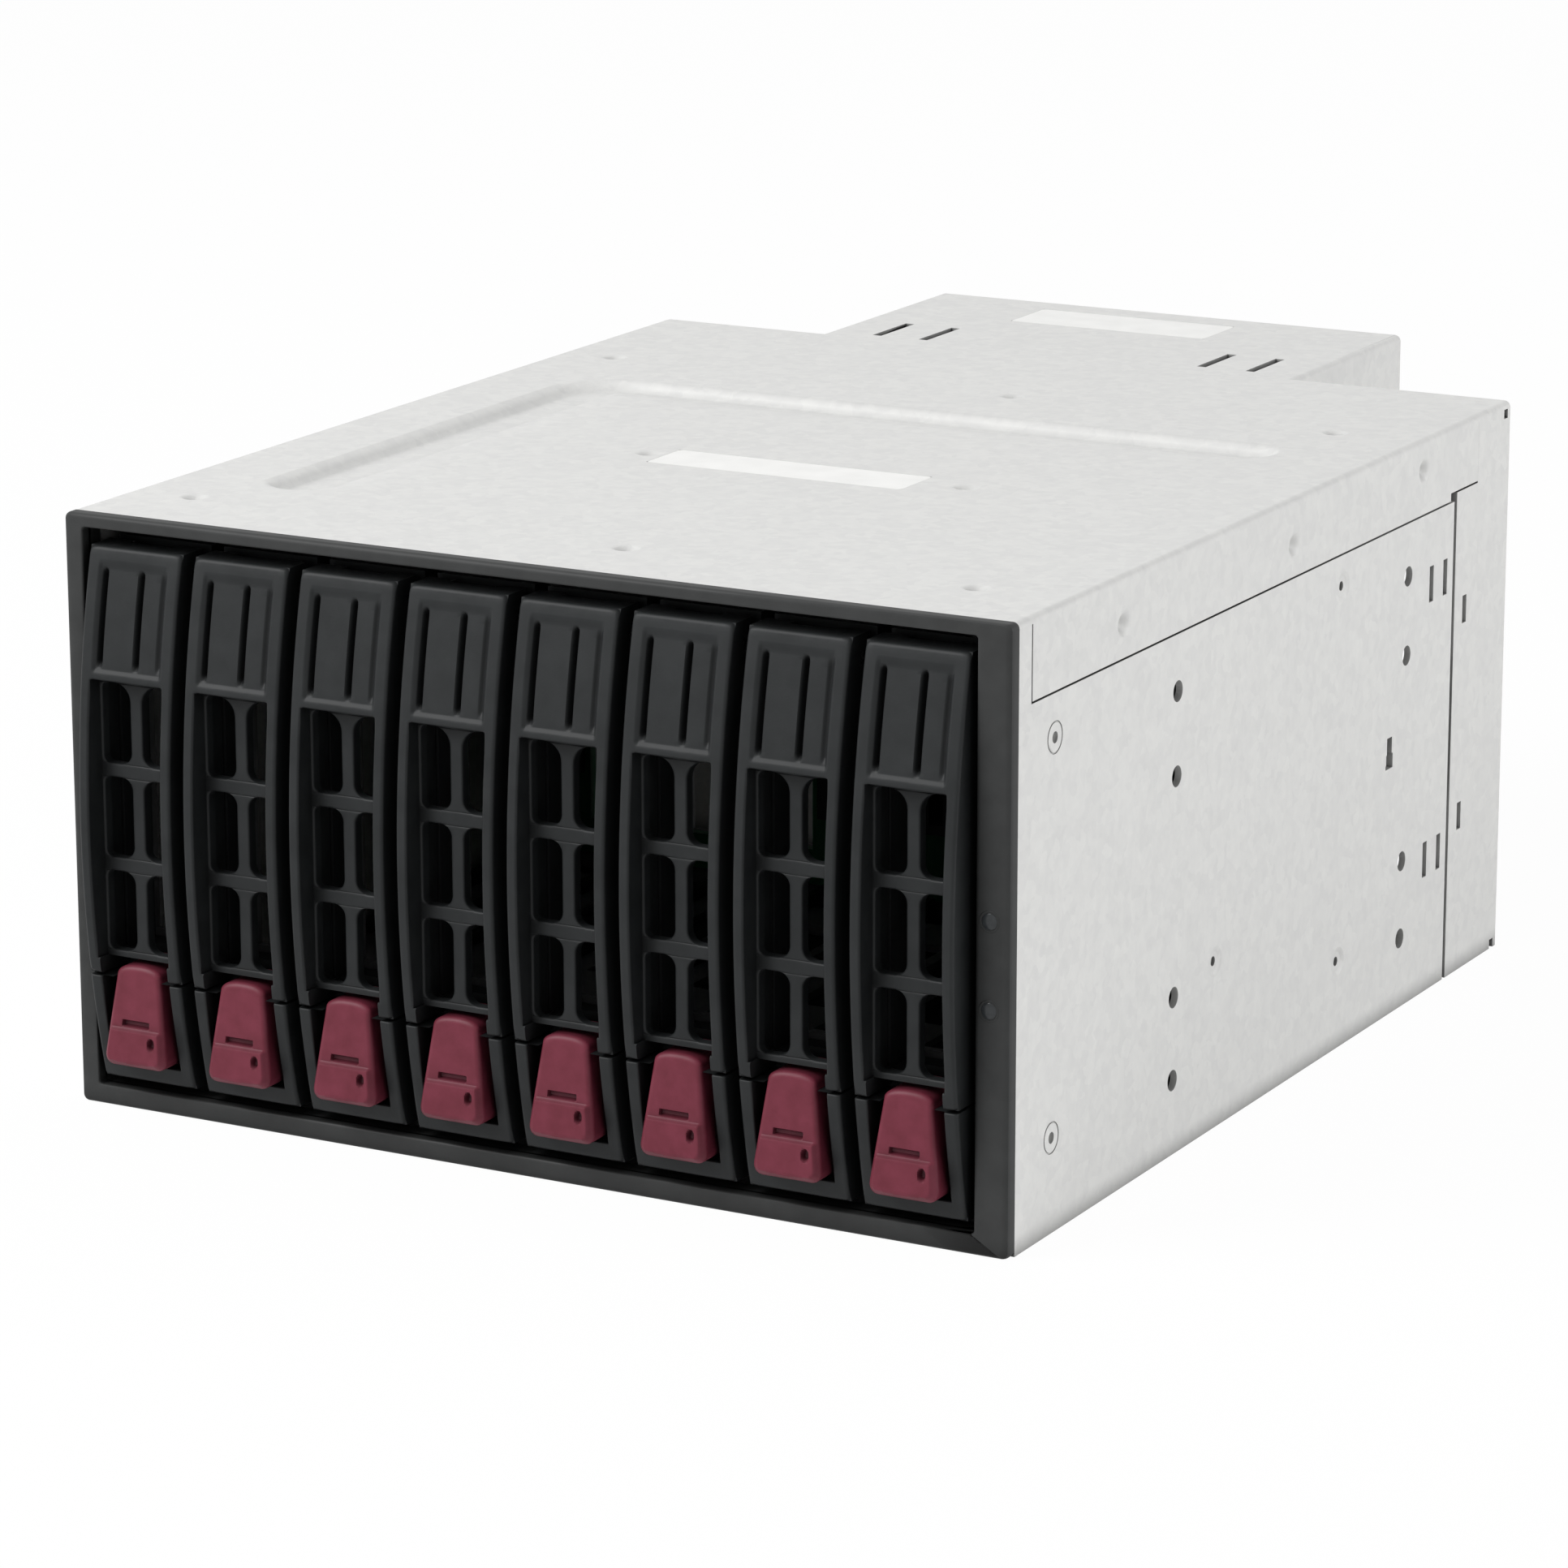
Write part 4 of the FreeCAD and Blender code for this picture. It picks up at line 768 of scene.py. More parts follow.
# %% Handle: face and back
BOW, CREST = 163.0, 42.0
handle_low, handle_high = span("handle_1")
bezel_low, bezel_high = span("bezel_1")
button_high = span("release_button_1")[1]
CREST_OUT = -handle_low[1]
FACE_HALF = (bezel_high[0] - bezel_low[0]) / 2
FOOT, TOP = handle_low[2], handle_high[2]
RIDGE_IN, WALL_IN = FACE_HALF - 1.7, FACE_HALF - 1.4
RECESS_LOW, RECESS_HIGH = 22.6, 62.5
PANEL_FRONT, PANEL_BACK = -2.8, -1.2
PIVOT_Y, PIVOT_Z = 1.6, 77.5
GROOVES = ((-4.7, 1.3), (1.3, 1.3), (5.0, 0.4))
GROOVE_HALF, GROOVE_LOW, GROOVE_HIGH, GROOVE_RUN = 0.6, 64.0, 78.0, 1.2
NOTCH = 5.6
EDGE, RECESS_EDGE, HANDLE_CORNER = 0.55, 0.4, 0.9
STEP_ACROSS, STEP_UP, GROOVE_LINES = 1.3, 2.2, 5
# The grip's dish, and at each of its borders the length over which it sinks.
DISH_DEEP = 0.35
DISH_SIDE, DISH_SIDE_RUN = RIDGE_IN - 0.1, 0.6
DISH_LOW, DISH_LOW_RUN = RECESS_HIGH + 0.9, 0.7
DISH_HIGH, DISH_HIGH_RUN = TOP - 1.6, 1.5
# Its back: hollow behind the grip, ears at the hinge with slots for the pin, room for the boss.
HOLLOW_LOW, HOLLOW_HIGH, HOLLOW_DEPTH = 64.2, 79.5, -0.6
EAR_LOW, EAR_DEPTH, LEVER_DEPTH = 75.5, 3.4, 2.0
BOSS_HALF, BOSS_HIGH = 3.4, 79.0
SLOT_HALF, SLOT_DEPTH = 0.86, 0.74


def bowed(z):
    """Depth of the bowed face at a height: a circle whose crest stands furthest out."""
    return BOW - CREST_OUT - np.sqrt(BOW ** 2 - (z - CREST) ** 2)


def handle_face(x, z):
    """Bowed face, rounded off at its outline and round the grille's recess, less the dished grip
    and its grooves. The grooves run out softly at both ends."""
    inside = -box_distance(x, z, -FACE_HALF, FACE_HALF, FOOT, TOP, HANDLE_CORNER)
    beside = box_distance(x, z, -RIDGE_IN, RIDGE_IN, RECESS_LOW, RECESS_HIGH, RECESS_EDGE)
    y = bowed(z) + rounding(inside, EDGE) + rounding(np.maximum(beside, 0), RECESS_EDGE)
    dish = (smooth((DISH_SIDE - np.abs(x)) / DISH_SIDE_RUN)
            * smooth((z - DISH_LOW) / DISH_LOW_RUN) * smooth((DISH_HIGH - z) / DISH_HIGH_RUN))
    y = y + DISH_DEEP * dish
    ends = smooth((z - GROOVE_LOW) / GROOVE_RUN) * smooth((GROOVE_HIGH - z) / GROOVE_RUN)
    for middle, deep in GROOVES:
        y = y + deep * smooth(1 - np.abs(x - middle) / GROOVE_HALF) * ends
    return y


def handle_back(x, z):
    """Back of the lever: hollow behind the recess and the grip, and deepest at the ears, whose
    slots take the hinge pin. Between the ears it is shallower, which clears the boss."""
    y = np.where(z > EAR_LOW, EAR_DEPTH, LEVER_DEPTH) + 0 * x
    y = np.where((np.abs(x) < WALL_IN) & (z > RECESS_LOW) & (z < RECESS_HIGH), PANEL_BACK, y)
    hollow = (np.abs(x) < WALL_IN) & (z > HOLLOW_LOW) & (z < HOLLOW_HIGH)
    y = np.where(hollow, HOLLOW_DEPTH, y)
    y = np.where((np.abs(x) < BOSS_HALF) & (z > BOSS_HIGH), LEVER_DEPTH, y)
    slot = (np.abs(x) > WALL_IN) & (np.abs(z - PIVOT_Z) < SLOT_HALF)
    return np.where(slot, SLOT_DEPTH, y)


def handle_frame():
    """The lever without its grille, which has a rectangle to itself."""
    x_lines = lines(-FACE_HALF, FACE_HALF, STEP_ACROSS,
                    mirrored(rim(FACE_HALF, -1, EDGE), rim(RIDGE_IN, 1, RECESS_EDGE, 4),
                             step_at(WALL_IN, BOSS_HALF), NOTCH,
                             np.linspace(DISH_SIDE - DISH_SIDE_RUN, DISH_SIDE, 4)),
                    about([middle for middle, _ in GROOVES], GROOVE_HALF))
    z_lines = lines(FOOT, TOP, STEP_UP, rim(FOOT, 1, EDGE), rim(TOP, -1, EDGE),
                    RECESS_LOW, RECESS_HIGH, rim(RECESS_LOW, -1, RECESS_EDGE, 4),
                    rim(RECESS_HIGH, 1, RECESS_EDGE, 4),
                    np.linspace(DISH_LOW, DISH_LOW + DISH_LOW_RUN, 4),
                    np.linspace(DISH_HIGH, DISH_HIGH - DISH_HIGH_RUN, 4),
                    np.linspace(GROOVE_LOW, GROOVE_LOW + GROOVE_RUN, GROOVE_LINES),
                    np.linspace(GROOVE_HIGH, GROOVE_HIGH - GROOVE_RUN, GROOVE_LINES),
                    step_at(HOLLOW_LOW, HOLLOW_HIGH, BOSS_HIGH, EAR_LOW, PIVOT_Z - SLOT_HALF,
                            PIVOT_Z + SLOT_HALF))
    x, z = x_lines[:, None], z_lines[None, :]
    cell_x, cell_z = np.abs(middles(x_lines))[:, None], middles(z_lines)[None, :]
    recess = (cell_x < RIDGE_IN) & (cell_z > RECESS_LOW) & (cell_z < RECESS_HIGH)
    notch = (cell_x < NOTCH) & (cell_z < RECESS_LOW)
    return slab(facing(x, handle_face(x, z), z), facing(x, handle_back(x, z), z),
                ~(recess | notch))


# %% [markdown]
# ### The grille
#
# Two columns of three air openings. Their corners are rounded, more so beside the middle bar and
# most at the top, which gives the bars their flared crossings. The grid lines bend to follow the
# sides of the openings, so that the curves are clean with few points. The distance to the
# nearest opening then rounds the bars' edges.

# %% Handle: grille
VENT_ROWS = ((23.4, 34.8), (36.8, 48.3), (50.3, 61.8))
BAR_HALF, VENT_OUT = 1.0, 5.55
OUTER_ROUND, INNER_ROUND, TOP_ROUND = 0.9, 1.7, 2.6
BAR_EDGE, OVERLAP = 0.35, 0.1
GRILLE_STEP, ROUND_LINES = 1.6, 9


def into_row(z, low, high):
    """How far a height is inside a row of openings, from its nearer end; nothing outside."""
    return np.clip(np.minimum(z - low, high - z), 0, None)


def grille():
    """Flat plate with six rounded openings. Each line across is a share between the sides of the
    openings, which move in and out with the corner circles as the height changes."""
    z_lines = []
    for low, high in VENT_ROWS:
        z_lines += [rim(low, -1, BAR_EDGE, 4), rim(high, 1, BAR_EDGE, 4),
                    rim(low, 1, TOP_ROUND, ROUND_LINES), rim(high, -1, TOP_ROUND, ROUND_LINES)]
    z = lines(RECESS_LOW - OVERLAP, RECESS_HIGH + OVERLAP, GRILLE_STEP, *z_lines)
    sideways = np.zeros((len(z), 2))
    apart = np.full((len(z), 1), FAR)
    for row, (low, high) in enumerate(VENT_ROWS):
        upper = (z > (low + high) / 2) & (row == len(VENT_ROWS) - 1)
        inner = np.where(upper, TOP_ROUND, INNER_ROUND)
        near = (z >= low - 1.0) & (z <= high + 1.0)
        sideways[near, 0] = (BAR_HALF + rounding(into_row(z, low, high), inner))[near]
        sideways[near, 1] = (VENT_OUT - rounding(into_row(z, low, high), OUTER_ROUND))[near]
    bevel = rim(0, 1, BAR_EDGE, 4)
    near_side, far_side = sideways[:, :1], sideways[:, 1:]
    half = np.concatenate([np.zeros((len(z), 1)), near_side - bevel[::-1], far_side + bevel,
                           np.full((len(z), 1), RIDGE_IN + OVERLAP)], axis=1)
    half = np.maximum.accumulate(half, axis=1)
    x = np.concatenate([-half[:, :0:-1], half], axis=1)
    height = z[:, None]
    for row, (low, high) in enumerate(VENT_ROWS):
        outward = np.abs(x) > (BAR_HALF + VENT_OUT) / 2
        upper = (height > (low + high) / 2) & (row == len(VENT_ROWS) - 1)
        radius = np.where(outward, OUTER_ROUND, np.where(upper, TOP_ROUND, INNER_ROUND))
        gap = box_distance(np.abs(x), height, BAR_HALF, VENT_OUT, low, high, radius)
        apart = np.minimum(apart, gap)
    front = facing(x, PANEL_FRONT + rounding(np.maximum(apart, 0), BAR_EDGE), height)
    behind = facing(x, PANEL_BACK, height)
    count = half.shape[1]
    cell_z = middles(z)[:, None]
    in_row = np.zeros((len(z) - 1, 1), bool)
    for low, high in VENT_ROWS:
        in_row |= (cell_z > low) & (cell_z < high)
    open_cells = np.zeros(2 * count - 2, bool)
    open_cells[[count - 1 + len(bevel), count - 2 - len(bevel)]] = True
    return slab(front, behind, ~(in_row & open_cells[None, :]))


lever = gather(handle_frame(), grille())
in_each_bay("lever", lever, charcoal_abs, "lever", "handle")

# %% [markdown]
# ## The carrier's fixed front
#
# Below the handle the carrier has a fixed face that carries on the same bow, with a straight
# pocket for the release button and a tapered bore that guides it. Behind the handle it is a plain
# frame round the air opening. The grid lines beside the bore lean with its sides.

# %% Bezel
SEAM = 19.9
FRAME_FRONT, RELIEF_FRONT, RELIEF_LOW = 2.3, 5.6, 74.4
BEZEL_BACK = bezel_high[1]
KEY_LOW, KEY_FOOT, KEY_NECK, KEY_SHOULDER = 7.4, 5.3, 3.65, 20.3
KEY_GAP, LEDGE = 0.3, FRAME_FRONT
POCKET_LOW, POCKET_FLOOR, POCKET = KEY_LOW - KEY_GAP, 5.9, 5.6
WINDOW_LOW, WINDOW_HIGH = 22.3, 62.2
POCKET_EDGE, SEAM_EDGE, BEZEL_CORNER, WALL_RUN = 0.3, 0.25, 0.8, 0.006
# The least width of the ledge beside the bore, how far the bore runs on past the window's foot,
# a hair's width, so that a point on an edge doesn't count as inside, and the grid's step.
LEDGE_LEAST, BORE_PAST, HAIR, BEZEL_STEP = 0.02, 0.1, 0.001, 2.5


def bore_half(z):
    """Half the width of the bore that guides the button: the button's taper and a small gap."""
    bore = np.interp(z, (KEY_LOW, KEY_SHOULDER), (KEY_FOOT, KEY_NECK)) + KEY_GAP
    return np.minimum(bore, POCKET - LEDGE_LEAST)


def bezel():
    """Fixed lower face, straight pocket with a ledge, tapered bore in the ledge, and frame."""
    z = lines(bezel_low[2], bezel_high[2], BEZEL_STEP, rim(bezel_low[2], 1, EDGE),
              rim(SEAM, -1, POCKET_EDGE), rim(POCKET_LOW, -1, POCKET_EDGE, 4), WINDOW_LOW,
              WINDOW_HIGH, step_at(POCKET_LOW, SEAM, RELIEF_LOW))[:, None]
    bore, half = bore_half(z), POCKET + 0 * z
    bevel = rim(0, 1, POCKET_EDGE, 4)[None]
    edge = (FACE_HALF - rim(0, 1, EDGE))[None, ::-1] + 0 * z
    window = np.full_like(z, RIDGE_IN)
    side = np.concatenate([np.zeros_like(z), bore * 0.5, bore - WALL_RUN, bore, half - WALL_RUN,
                           half + bevel[:, :-1], window, edge], axis=1)
    x = np.concatenate([-side[:, :0:-1], side], axis=1)
    inside = -box_distance(x, z, -FACE_HALF, FACE_HALF, bezel_low[2], bezel_high[2],
                           BEZEL_CORNER)
    beside = np.where(z < POCKET_LOW, np.hypot(np.maximum(np.abs(x) - half, 0), POCKET_LOW - z),
                      np.abs(x) - half)
    face_y = bowed(z) + rounding(inside, EDGE) + rounding(np.maximum(beside, 0), POCKET_EDGE)
    face_y = face_y + rounding(np.maximum(SEAM - z, 0), SEAM_EDGE)
    y = np.where(z > SEAM, FRAME_FRONT, face_y)
    y = np.where(z > RELIEF_LOW, RELIEF_FRONT, y)
    sunk = (np.abs(x) < half - HAIR) & (z > POCKET_LOW) & (z < SEAM)
    y = np.where(sunk, LEDGE, y)
    through = (np.abs(x) < bore - HAIR) & (z > POCKET_LOW) & (z < WINDOW_LOW + BORE_PAST)
    y = np.where(through, POCKET_FLOOR, y)
    cell_x = np.abs((x[:, 1:] + x[:, :-1]) / 2)[1:]
    cell_z = middles(z[:, 0])[:, None]
    window_cells = (cell_x < RIDGE_IN) & (cell_z > WINDOW_LOW) & (cell_z < WINDOW_HIGH)
    return slab(facing(x, y, z), facing(x, BEZEL_BACK, z), ~window_cells)


# %% The hinge's bearing block
BOSS_RADIUS, BOSS_END, BOSS_BEVEL, BOSS_POINTS = 1.8, 3.0, 0.3, 25
NECK_BACK = RELIEF_FRONT + 1.2


def boss():
    """Bearing block of the hinge: a cylinder on a short neck, closed at both ends."""
    turn = np.linspace(-math.pi / 2, math.pi, BOSS_POINTS)[::-1]
    y = np.concatenate([PIVOT_Y - BOSS_RADIUS * np.cos(turn), [NECK_BACK, NECK_BACK]])
    z = np.concatenate([PIVOT_Z - BOSS_RADIUS * np.sin(turn), [PIVOT_Z - BOSS_RADIUS, PIVOT_Z]])
    outline = np.stack([y, z], axis=1)
    ends = np.array([BOSS_END - BOSS_BEVEL, BOSS_END])
    places = np.concatenate([-ends[::-1], ends])[:, None]
    rings = facing(places, outline[None, :, 0], outline[None, :, 1])
    return tube(rings)


fixed_front = gather(bezel(), boss())
in_each_bay("carrier_front", fixed_front, charcoal_abs, "tray", "bezel")

# %% [markdown]
# ## The release button
#
# A burgundy key, narrow and round at the top and wide at the foot. Its face leans out towards the
# foot, where a raised pad takes the thumb. A groove sets the pad off, and a small pit on the pad
# is the sight hole of the catch. The grid follows the key's outline: each row of points is
# spread over the width that the key has there.

# %% Button
KEY_HIGH = button_high[2] - 0.4
KEY_CORNER, KEY_CROWN, KEY_EDGE, CROWN_RUN = 1.7, 2.3, 0.8, 1.9
LEAN_TOP, LEAN_LOW, PAD_PROUD, PAD_TOP = 4.1, 5.8, 0.5, 13.0
PAD_STEP, PAD_INSET, PAD_SIDE = 0.45, 0.25, 0.6
BAR_STEEP, BAR_END, SIGHT_STEEP = 1.6, 0.3, 1.8
BAR, BAR_WIDE, BAR_TALL, BAR_DEEP = 13.6, 2.3, 0.55, 0.7
SIGHT, SIGHT_WIDE, SIGHT_TALL, SIGHT_DEEP = (2.9, 11.2), 0.65, 0.95, 0.9
# The grid's steps up the key, and across it as shares of the key's half width: a few lines near
# each side and an even run between them.
KEY_STEP, CORNER_LINES, CROWN_LINES, PAD_SPREAD = 0.35, 8, 16, 0.5
SIDE_SHARE, SIDE_LINES, EVEN_SHARE, EVEN_LINES = 0.15, 6, 0.83, 67
# The height to an outline where none is above, and the shortest line that is divided by.
OPEN_HEIGHT, SHORTEST = 1e3, 1e-6


def key_half(z):
    """Half the key's width: a taper with rounded foot corners, then a crowned top on the curve
    |x/a|^n + |z/b|^n = 1."""
    taper = np.interp(z, (KEY_LOW, KEY_SHOULDER), (KEY_FOOT, KEY_NECK))
    taper = taper - rounding(z - KEY_LOW, KEY_CORNER)
    up = np.clip((z - KEY_SHOULDER) / (KEY_HIGH - KEY_SHOULDER), 0, 1)
    crown = KEY_NECK * (1 - up ** KEY_CROWN) ** (1 / KEY_CROWN)
    return np.where(z > KEY_SHOULDER, crown, taper)


def corner_distance(beside, along):
    """Distance to an outline of which a point is so far beside and so far along: the height of
    the right triangle with those two legs."""
    beside, along = np.clip(beside, 0, None), np.clip(along, 0, None)
    return beside * along / np.maximum(np.hypot(beside, along), SHORTEST)


def key():
    """Leaning face with a raised pad, a short groove over it and a pit, rounded off all round."""
    z = lines(KEY_LOW, KEY_HIGH, KEY_STEP, rim(KEY_LOW, 1, KEY_CORNER, CORNER_LINES),
              rim(KEY_HIGH, -1, CROWN_RUN, CROWN_LINES), about(PAD_TOP, PAD_SPREAD),
              about(BAR, BAR_TALL), about(SIGHT[1], SIGHT_TALL))[:, None]
    side = rim(0, 1, SIDE_SHARE, SIDE_LINES)
    even = np.linspace(-EVEN_SHARE, EVEN_SHARE, EVEN_LINES)
    share = np.concatenate([side - 1, even, 1 - side[::-1]])[None]
    x = share * key_half(z)
    beside = key_half(z) - np.abs(x)
    out = np.clip(np.abs(x) / KEY_NECK, 0, 1)
    top = KEY_SHOULDER + (KEY_HIGH - KEY_SHOULDER) * (1 - out ** KEY_CROWN) ** (1 / KEY_CROWN)
    foot = KEY_LOW + rounding(KEY_FOOT - np.abs(x), KEY_CORNER)
    over = np.where(np.abs(x) < KEY_NECK, top - z, OPEN_HEIGHT)
    inside = np.minimum(corner_distance(beside, over), corner_distance(beside, z - foot))
    lean = np.interp(z, (KEY_LOW, KEY_HIGH), (LEAN_LOW, LEAN_TOP))
    pad = smooth((PAD_TOP - z) / PAD_STEP) * smooth((inside - PAD_INSET) / PAD_SIDE)
    groove = (smooth(BAR_STEEP * (1 - np.abs(z - BAR) / BAR_TALL))
              * smooth((BAR_WIDE - np.abs(x)) / BAR_END))
    around = np.hypot((x - SIGHT[0]) / SIGHT_WIDE, (z - SIGHT[1]) / SIGHT_TALL)
    pit = smooth(SIGHT_STEEP * (1 - around))
    y = -lean - PAD_PROUD * pad + BAR_DEEP * groove + SIGHT_DEEP * pit
    y = y + rounding(inside, KEY_EDGE)
    keep = np.ones((len(z) - 1, share.shape[1] - 1), bool)
    return slab(facing(x, y, z), facing(x, button_high[1], z), keep)


in_each_bay("thumb_key", key(), burgundy_abs, "button", "release_button")

# %% [markdown]
# ## Marks in the steel
#
# The side walls are riveted and spot welded to the frame, which leaves shallow rings and rivets
# with a dark hollow middle. They are sunk into a merged copy of the CAD sheet, so nothing stands
# out of the wall. The same cut makes the seat of the rear label.

# %% Side wall marks
# Places are how far along the box and how high, profiles are radius and depth into the wall.
WALL_RINGS = ((10.6, 67.6), (10.6, 13.3))
WALL_RIVETS = ((103.6, 68.9), (61.7, 24.2), (104.5, 13.1))
RING_GROOVE = [(2.0, 0.12), (2.0, -0.5), (2.25, -0.5), (2.25, 0.12)]
RING_PIT = [(0.5, 0.6), (0.8, 0.3), (0.8, -0.5)]
MERGE = 0.0005
RIVET_BOWL = [(0.7, 0.8), (0.7, 0.35), (1.5, 0.3), (2.2, 0.0), (2.2, -0.5)]


def on_wall(shape, side):
    """A shape turned so that its depth runs into a side wall: x = side (HALF - depth), and its
    own x becomes depth along the box. The faces are wound back where that mirrors it."""
    points, faces = shape
    turned_points = np.stack([side * (HALF - points[:, 1]), points[:, 0], points[:, 2]], axis=1)
    return turned_points, faces if side > 0 else [face[::-1] for face in faces]


def carved(node, name, cutters):
    """A merged copy of a CAD node's mesh, less the cutters."""
    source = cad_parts[node]
    sheet = source.data.copy()
    sheet.transform(source.matrix_world)
    work = bmesh.new()
    work.from_mesh(sheet)
    bmesh.ops.remove_doubles(work, verts=work.verts, dist=MERGE * MM)
    work.to_mesh(sheet)
    work.free()
    blank, tool = put("blank", sheet), put("tool", mesh_of("cutters", gather(*cutters)))
    cut = blank.modifiers.new("marks", "BOOLEAN")
    cut.operation, cut.solver, cut.object = "DIFFERENCE", "EXACT", tool
    bpy.context.view_layer.update()
    mesh = bpy.data.meshes.new_from_object(
        blank.evaluated_get(bpy.context.evaluated_depsgraph_get()))
    mesh.name = name
    for helper in (blank, tool):
        bpy.data.objects.remove(helper)
    return mesh


wall_marks = []
for side in (-1, 1):
    wall_marks += [on_wall(turned(RING_GROOVE, *spot, around=32, closed=True), side)
                   for spot in WALL_RINGS]
    wall_marks += [on_wall(turned(RING_PIT, *spot), side) for spot in WALL_RINGS]
    wall_marks += [on_wall(turned(RIVET_BOWL, *spot), side) for spot in WALL_RIVETS]
pan = settle(carved("chassis_pan", "pan_sheet", wall_marks), shell_steel, "cage", "chassis_pan",
             crease=12)
print("pan:", len(pan.data.polygons), "faces")

# %% [markdown]
# ## Bare labels
#
# Two white stickers without print, one on the cover and one on the fan's duct. Each lies in a
# seat as deep as the paper is thick.

# %% Labels
duct_high = span("fan_housing")[1]
REAR_LABEL = (-23.0, 11.0, 190.0, 202.0)
LABEL_GAP, LABEL_CORNER = 0.03, 0.6
# How far a sticker's back stays over its seat, and its face under the steel round it.
LABEL_OVER, LABEL_UNDER = 0.004, 0.006


def sticker(area, top):
    """Thin plate with rounded corners in its seat: two loops, joined and covered."""
    loop = rounded_loop(np.array([area[0], area[2]]) + LABEL_GAP,
                        np.array([area[1], area[3]]) - LABEL_GAP, LABEL_CORNER)
    levels = np.array([top - LABEL_SEAT + LABEL_OVER, top - LABEL_UNDER])
    return tube(facing(loop[None, :, 0], loop[None, :, 1], levels[:, None]))


def seat_cutter(area, top):
    """Block that cuts a label's seat."""
    x, y, z = area[:2], area[2:], np.array([top - LABEL_SEAT, top + 1.0])
    loop = np.array([(x[0], y[0]), (x[1], y[0]), (x[1], y[1]), (x[0], y[1])], float)
    return tube(facing(loop[None, :, 0], loop[None, :, 1], z[:, None]))


duct_mesh = carved("fan_housing", "duct_sheet", [seat_cutter(REAR_LABEL, duct_high[2])])
settle(duct_mesh, shell_steel, "cage", "fan_housing")
piece("top_label", sticker(TOP_LABEL, HIGH), label_paper, "cage")
piece("rear_label", sticker(REAR_LABEL, duct_high[2]), label_paper, "cage")
print("labels:", TOP_LABEL, REAR_LABEL)

# %% [markdown]
# ## The fan's guard
#
# Four wire rings on four straight wires. The wires start at the inner ring and end under the
# heads of four screws.

# %% Guard and screws
guard_low, guard_high = span("fan_guard")
WIRE = (guard_high[1] - guard_low[1]) / 2
GUARD_Y = (guard_high[1] + guard_low[1]) / 2
FAN_AXIS = ((guard_low[0] + guard_high[0]) / 2, (guard_low[2] + guard_high[2]) / 2)
GUARD_RINGS, SCREW_REACH, WIRE_SHORT = (9.0, 18.0, 27.0, 36.0), 35.75, 2.6
RING_POINTS, WIRE_POINTS = 64, 12


def wire_ring(radius):
    """Ring of round wire about the fan's axis."""
    turn, bead = full_turn(RING_POINTS)[:, None], full_turn(WIRE_POINTS)[None]
    reach = radius + WIRE * np.cos(bead)
    return tube(facing(FAN_AXIS[0] + reach * np.cos(turn), GUARD_Y + WIRE * np.sin(bead),
                       FAN_AXIS[1] + reach * np.sin(turn)), closed=True)


def spoke(angle, start, end):
    """Straight round wire, outwards from the axis at an angle."""
    away, bead = np.linspace(start, end, 4)[:, None], full_turn(WIRE_POINTS)[None]
    aside = WIRE * np.cos(bead)
    return tube(facing(FAN_AXIS[0] + away * math.cos(angle) - aside * math.sin(angle),
                       GUARD_Y + WIRE * np.sin(bead) + 0 * away,
                       FAN_AXIS[1] + away * math.sin(angle) + aside * math.cos(angle)))


corners = [(side_x, side_z) for side_x in (-1, 1) for side_z in (-1, 1)]
guard = gather(*[wire_ring(radius) for radius in GUARD_RINGS],
               *[spoke(math.atan2(side_z, side_x), GUARD_RINGS[0],
                       SCREW_REACH * math.sqrt(2) - WIRE_SHORT) for side_x, side_z in corners])
piece("wire_guard", guard, bright_zinc, "cage", "fan_guard")
# A screw's head: radius and height over the wires, from its rim over the crown into the recess.
SCREW_HEAD = ((2.7, -WIRE), (2.7, 0.2), (2.2, 0.6), (1.2, 0.75), (0.7, 0.1))
head = [(radius, GUARD_Y + over) for radius, over in SCREW_HEAD]
screws = gather(*[turned(head, FAN_AXIS[0] + side_x * SCREW_REACH,
                         FAN_AXIS[1] + side_z * SCREW_REACH) for side_x, side_z in corners])
piece("guard_screws", screws, bright_zinc, "cage")
print("guard:", len(guard[1]), "faces; fan axis", FAN_AXIS)

# %% [markdown]
# ## Light, floor and camera
#
# A plain pale floor, a white surround and two large soft lamps, as for a catalogue picture. The
# surround lights the object at a modest level. Where the camera looks straight at it, or at its
# reflection, it is plain white, and so is nearly all of the floor.

# %% Stage
WHITE_SHARE, AMBIENT = 0.97, 0.32


def seen_by_eye(tree):
    """1 where the camera sees a thing straight, in a reflection or through something clear."""
    path = add(tree, "ShaderNodeLightPath")
    direct = add(tree, "ShaderNodeMath", {0: path.outputs["Is Camera Ray"],
                                          1: path.outputs["Is Glossy Ray"]}, operation="MAXIMUM")
    through = add(tree, "ShaderNodeMath", {0: direct.outputs[0],
                                           1: path.outputs["Is Transmission Ray"]},
                  operation="MAXIMUM")
    return through.outputs[0]


# Pale floor paint, quite matt, so that the object throws no reflection on it.
floor_paint, tree, shader = finish("pale_studio_floor", roughness=0.9)
mottle(tree, shader, size=400.0, dark="F4F4F4", light="F8F8F8")
white = add(tree, "ShaderNodeEmission", {"Color": (1, 1, 1, 1), "Strength": 1.0})
seen = add(tree, "ShaderNodeMath", {0: seen_by_eye(tree), 1: WHITE_SHARE},
           operation="MULTIPLY")
both = add(tree, "ShaderNodeMixShader", {0: seen.outputs[0], 1: shader.outputs[0],
                                         2: white.outputs[0]})
add(tree, "ShaderNodeOutputMaterial", {"Surface": both.outputs[0]}).is_active_output = True
print("floor:", floor_paint.name)

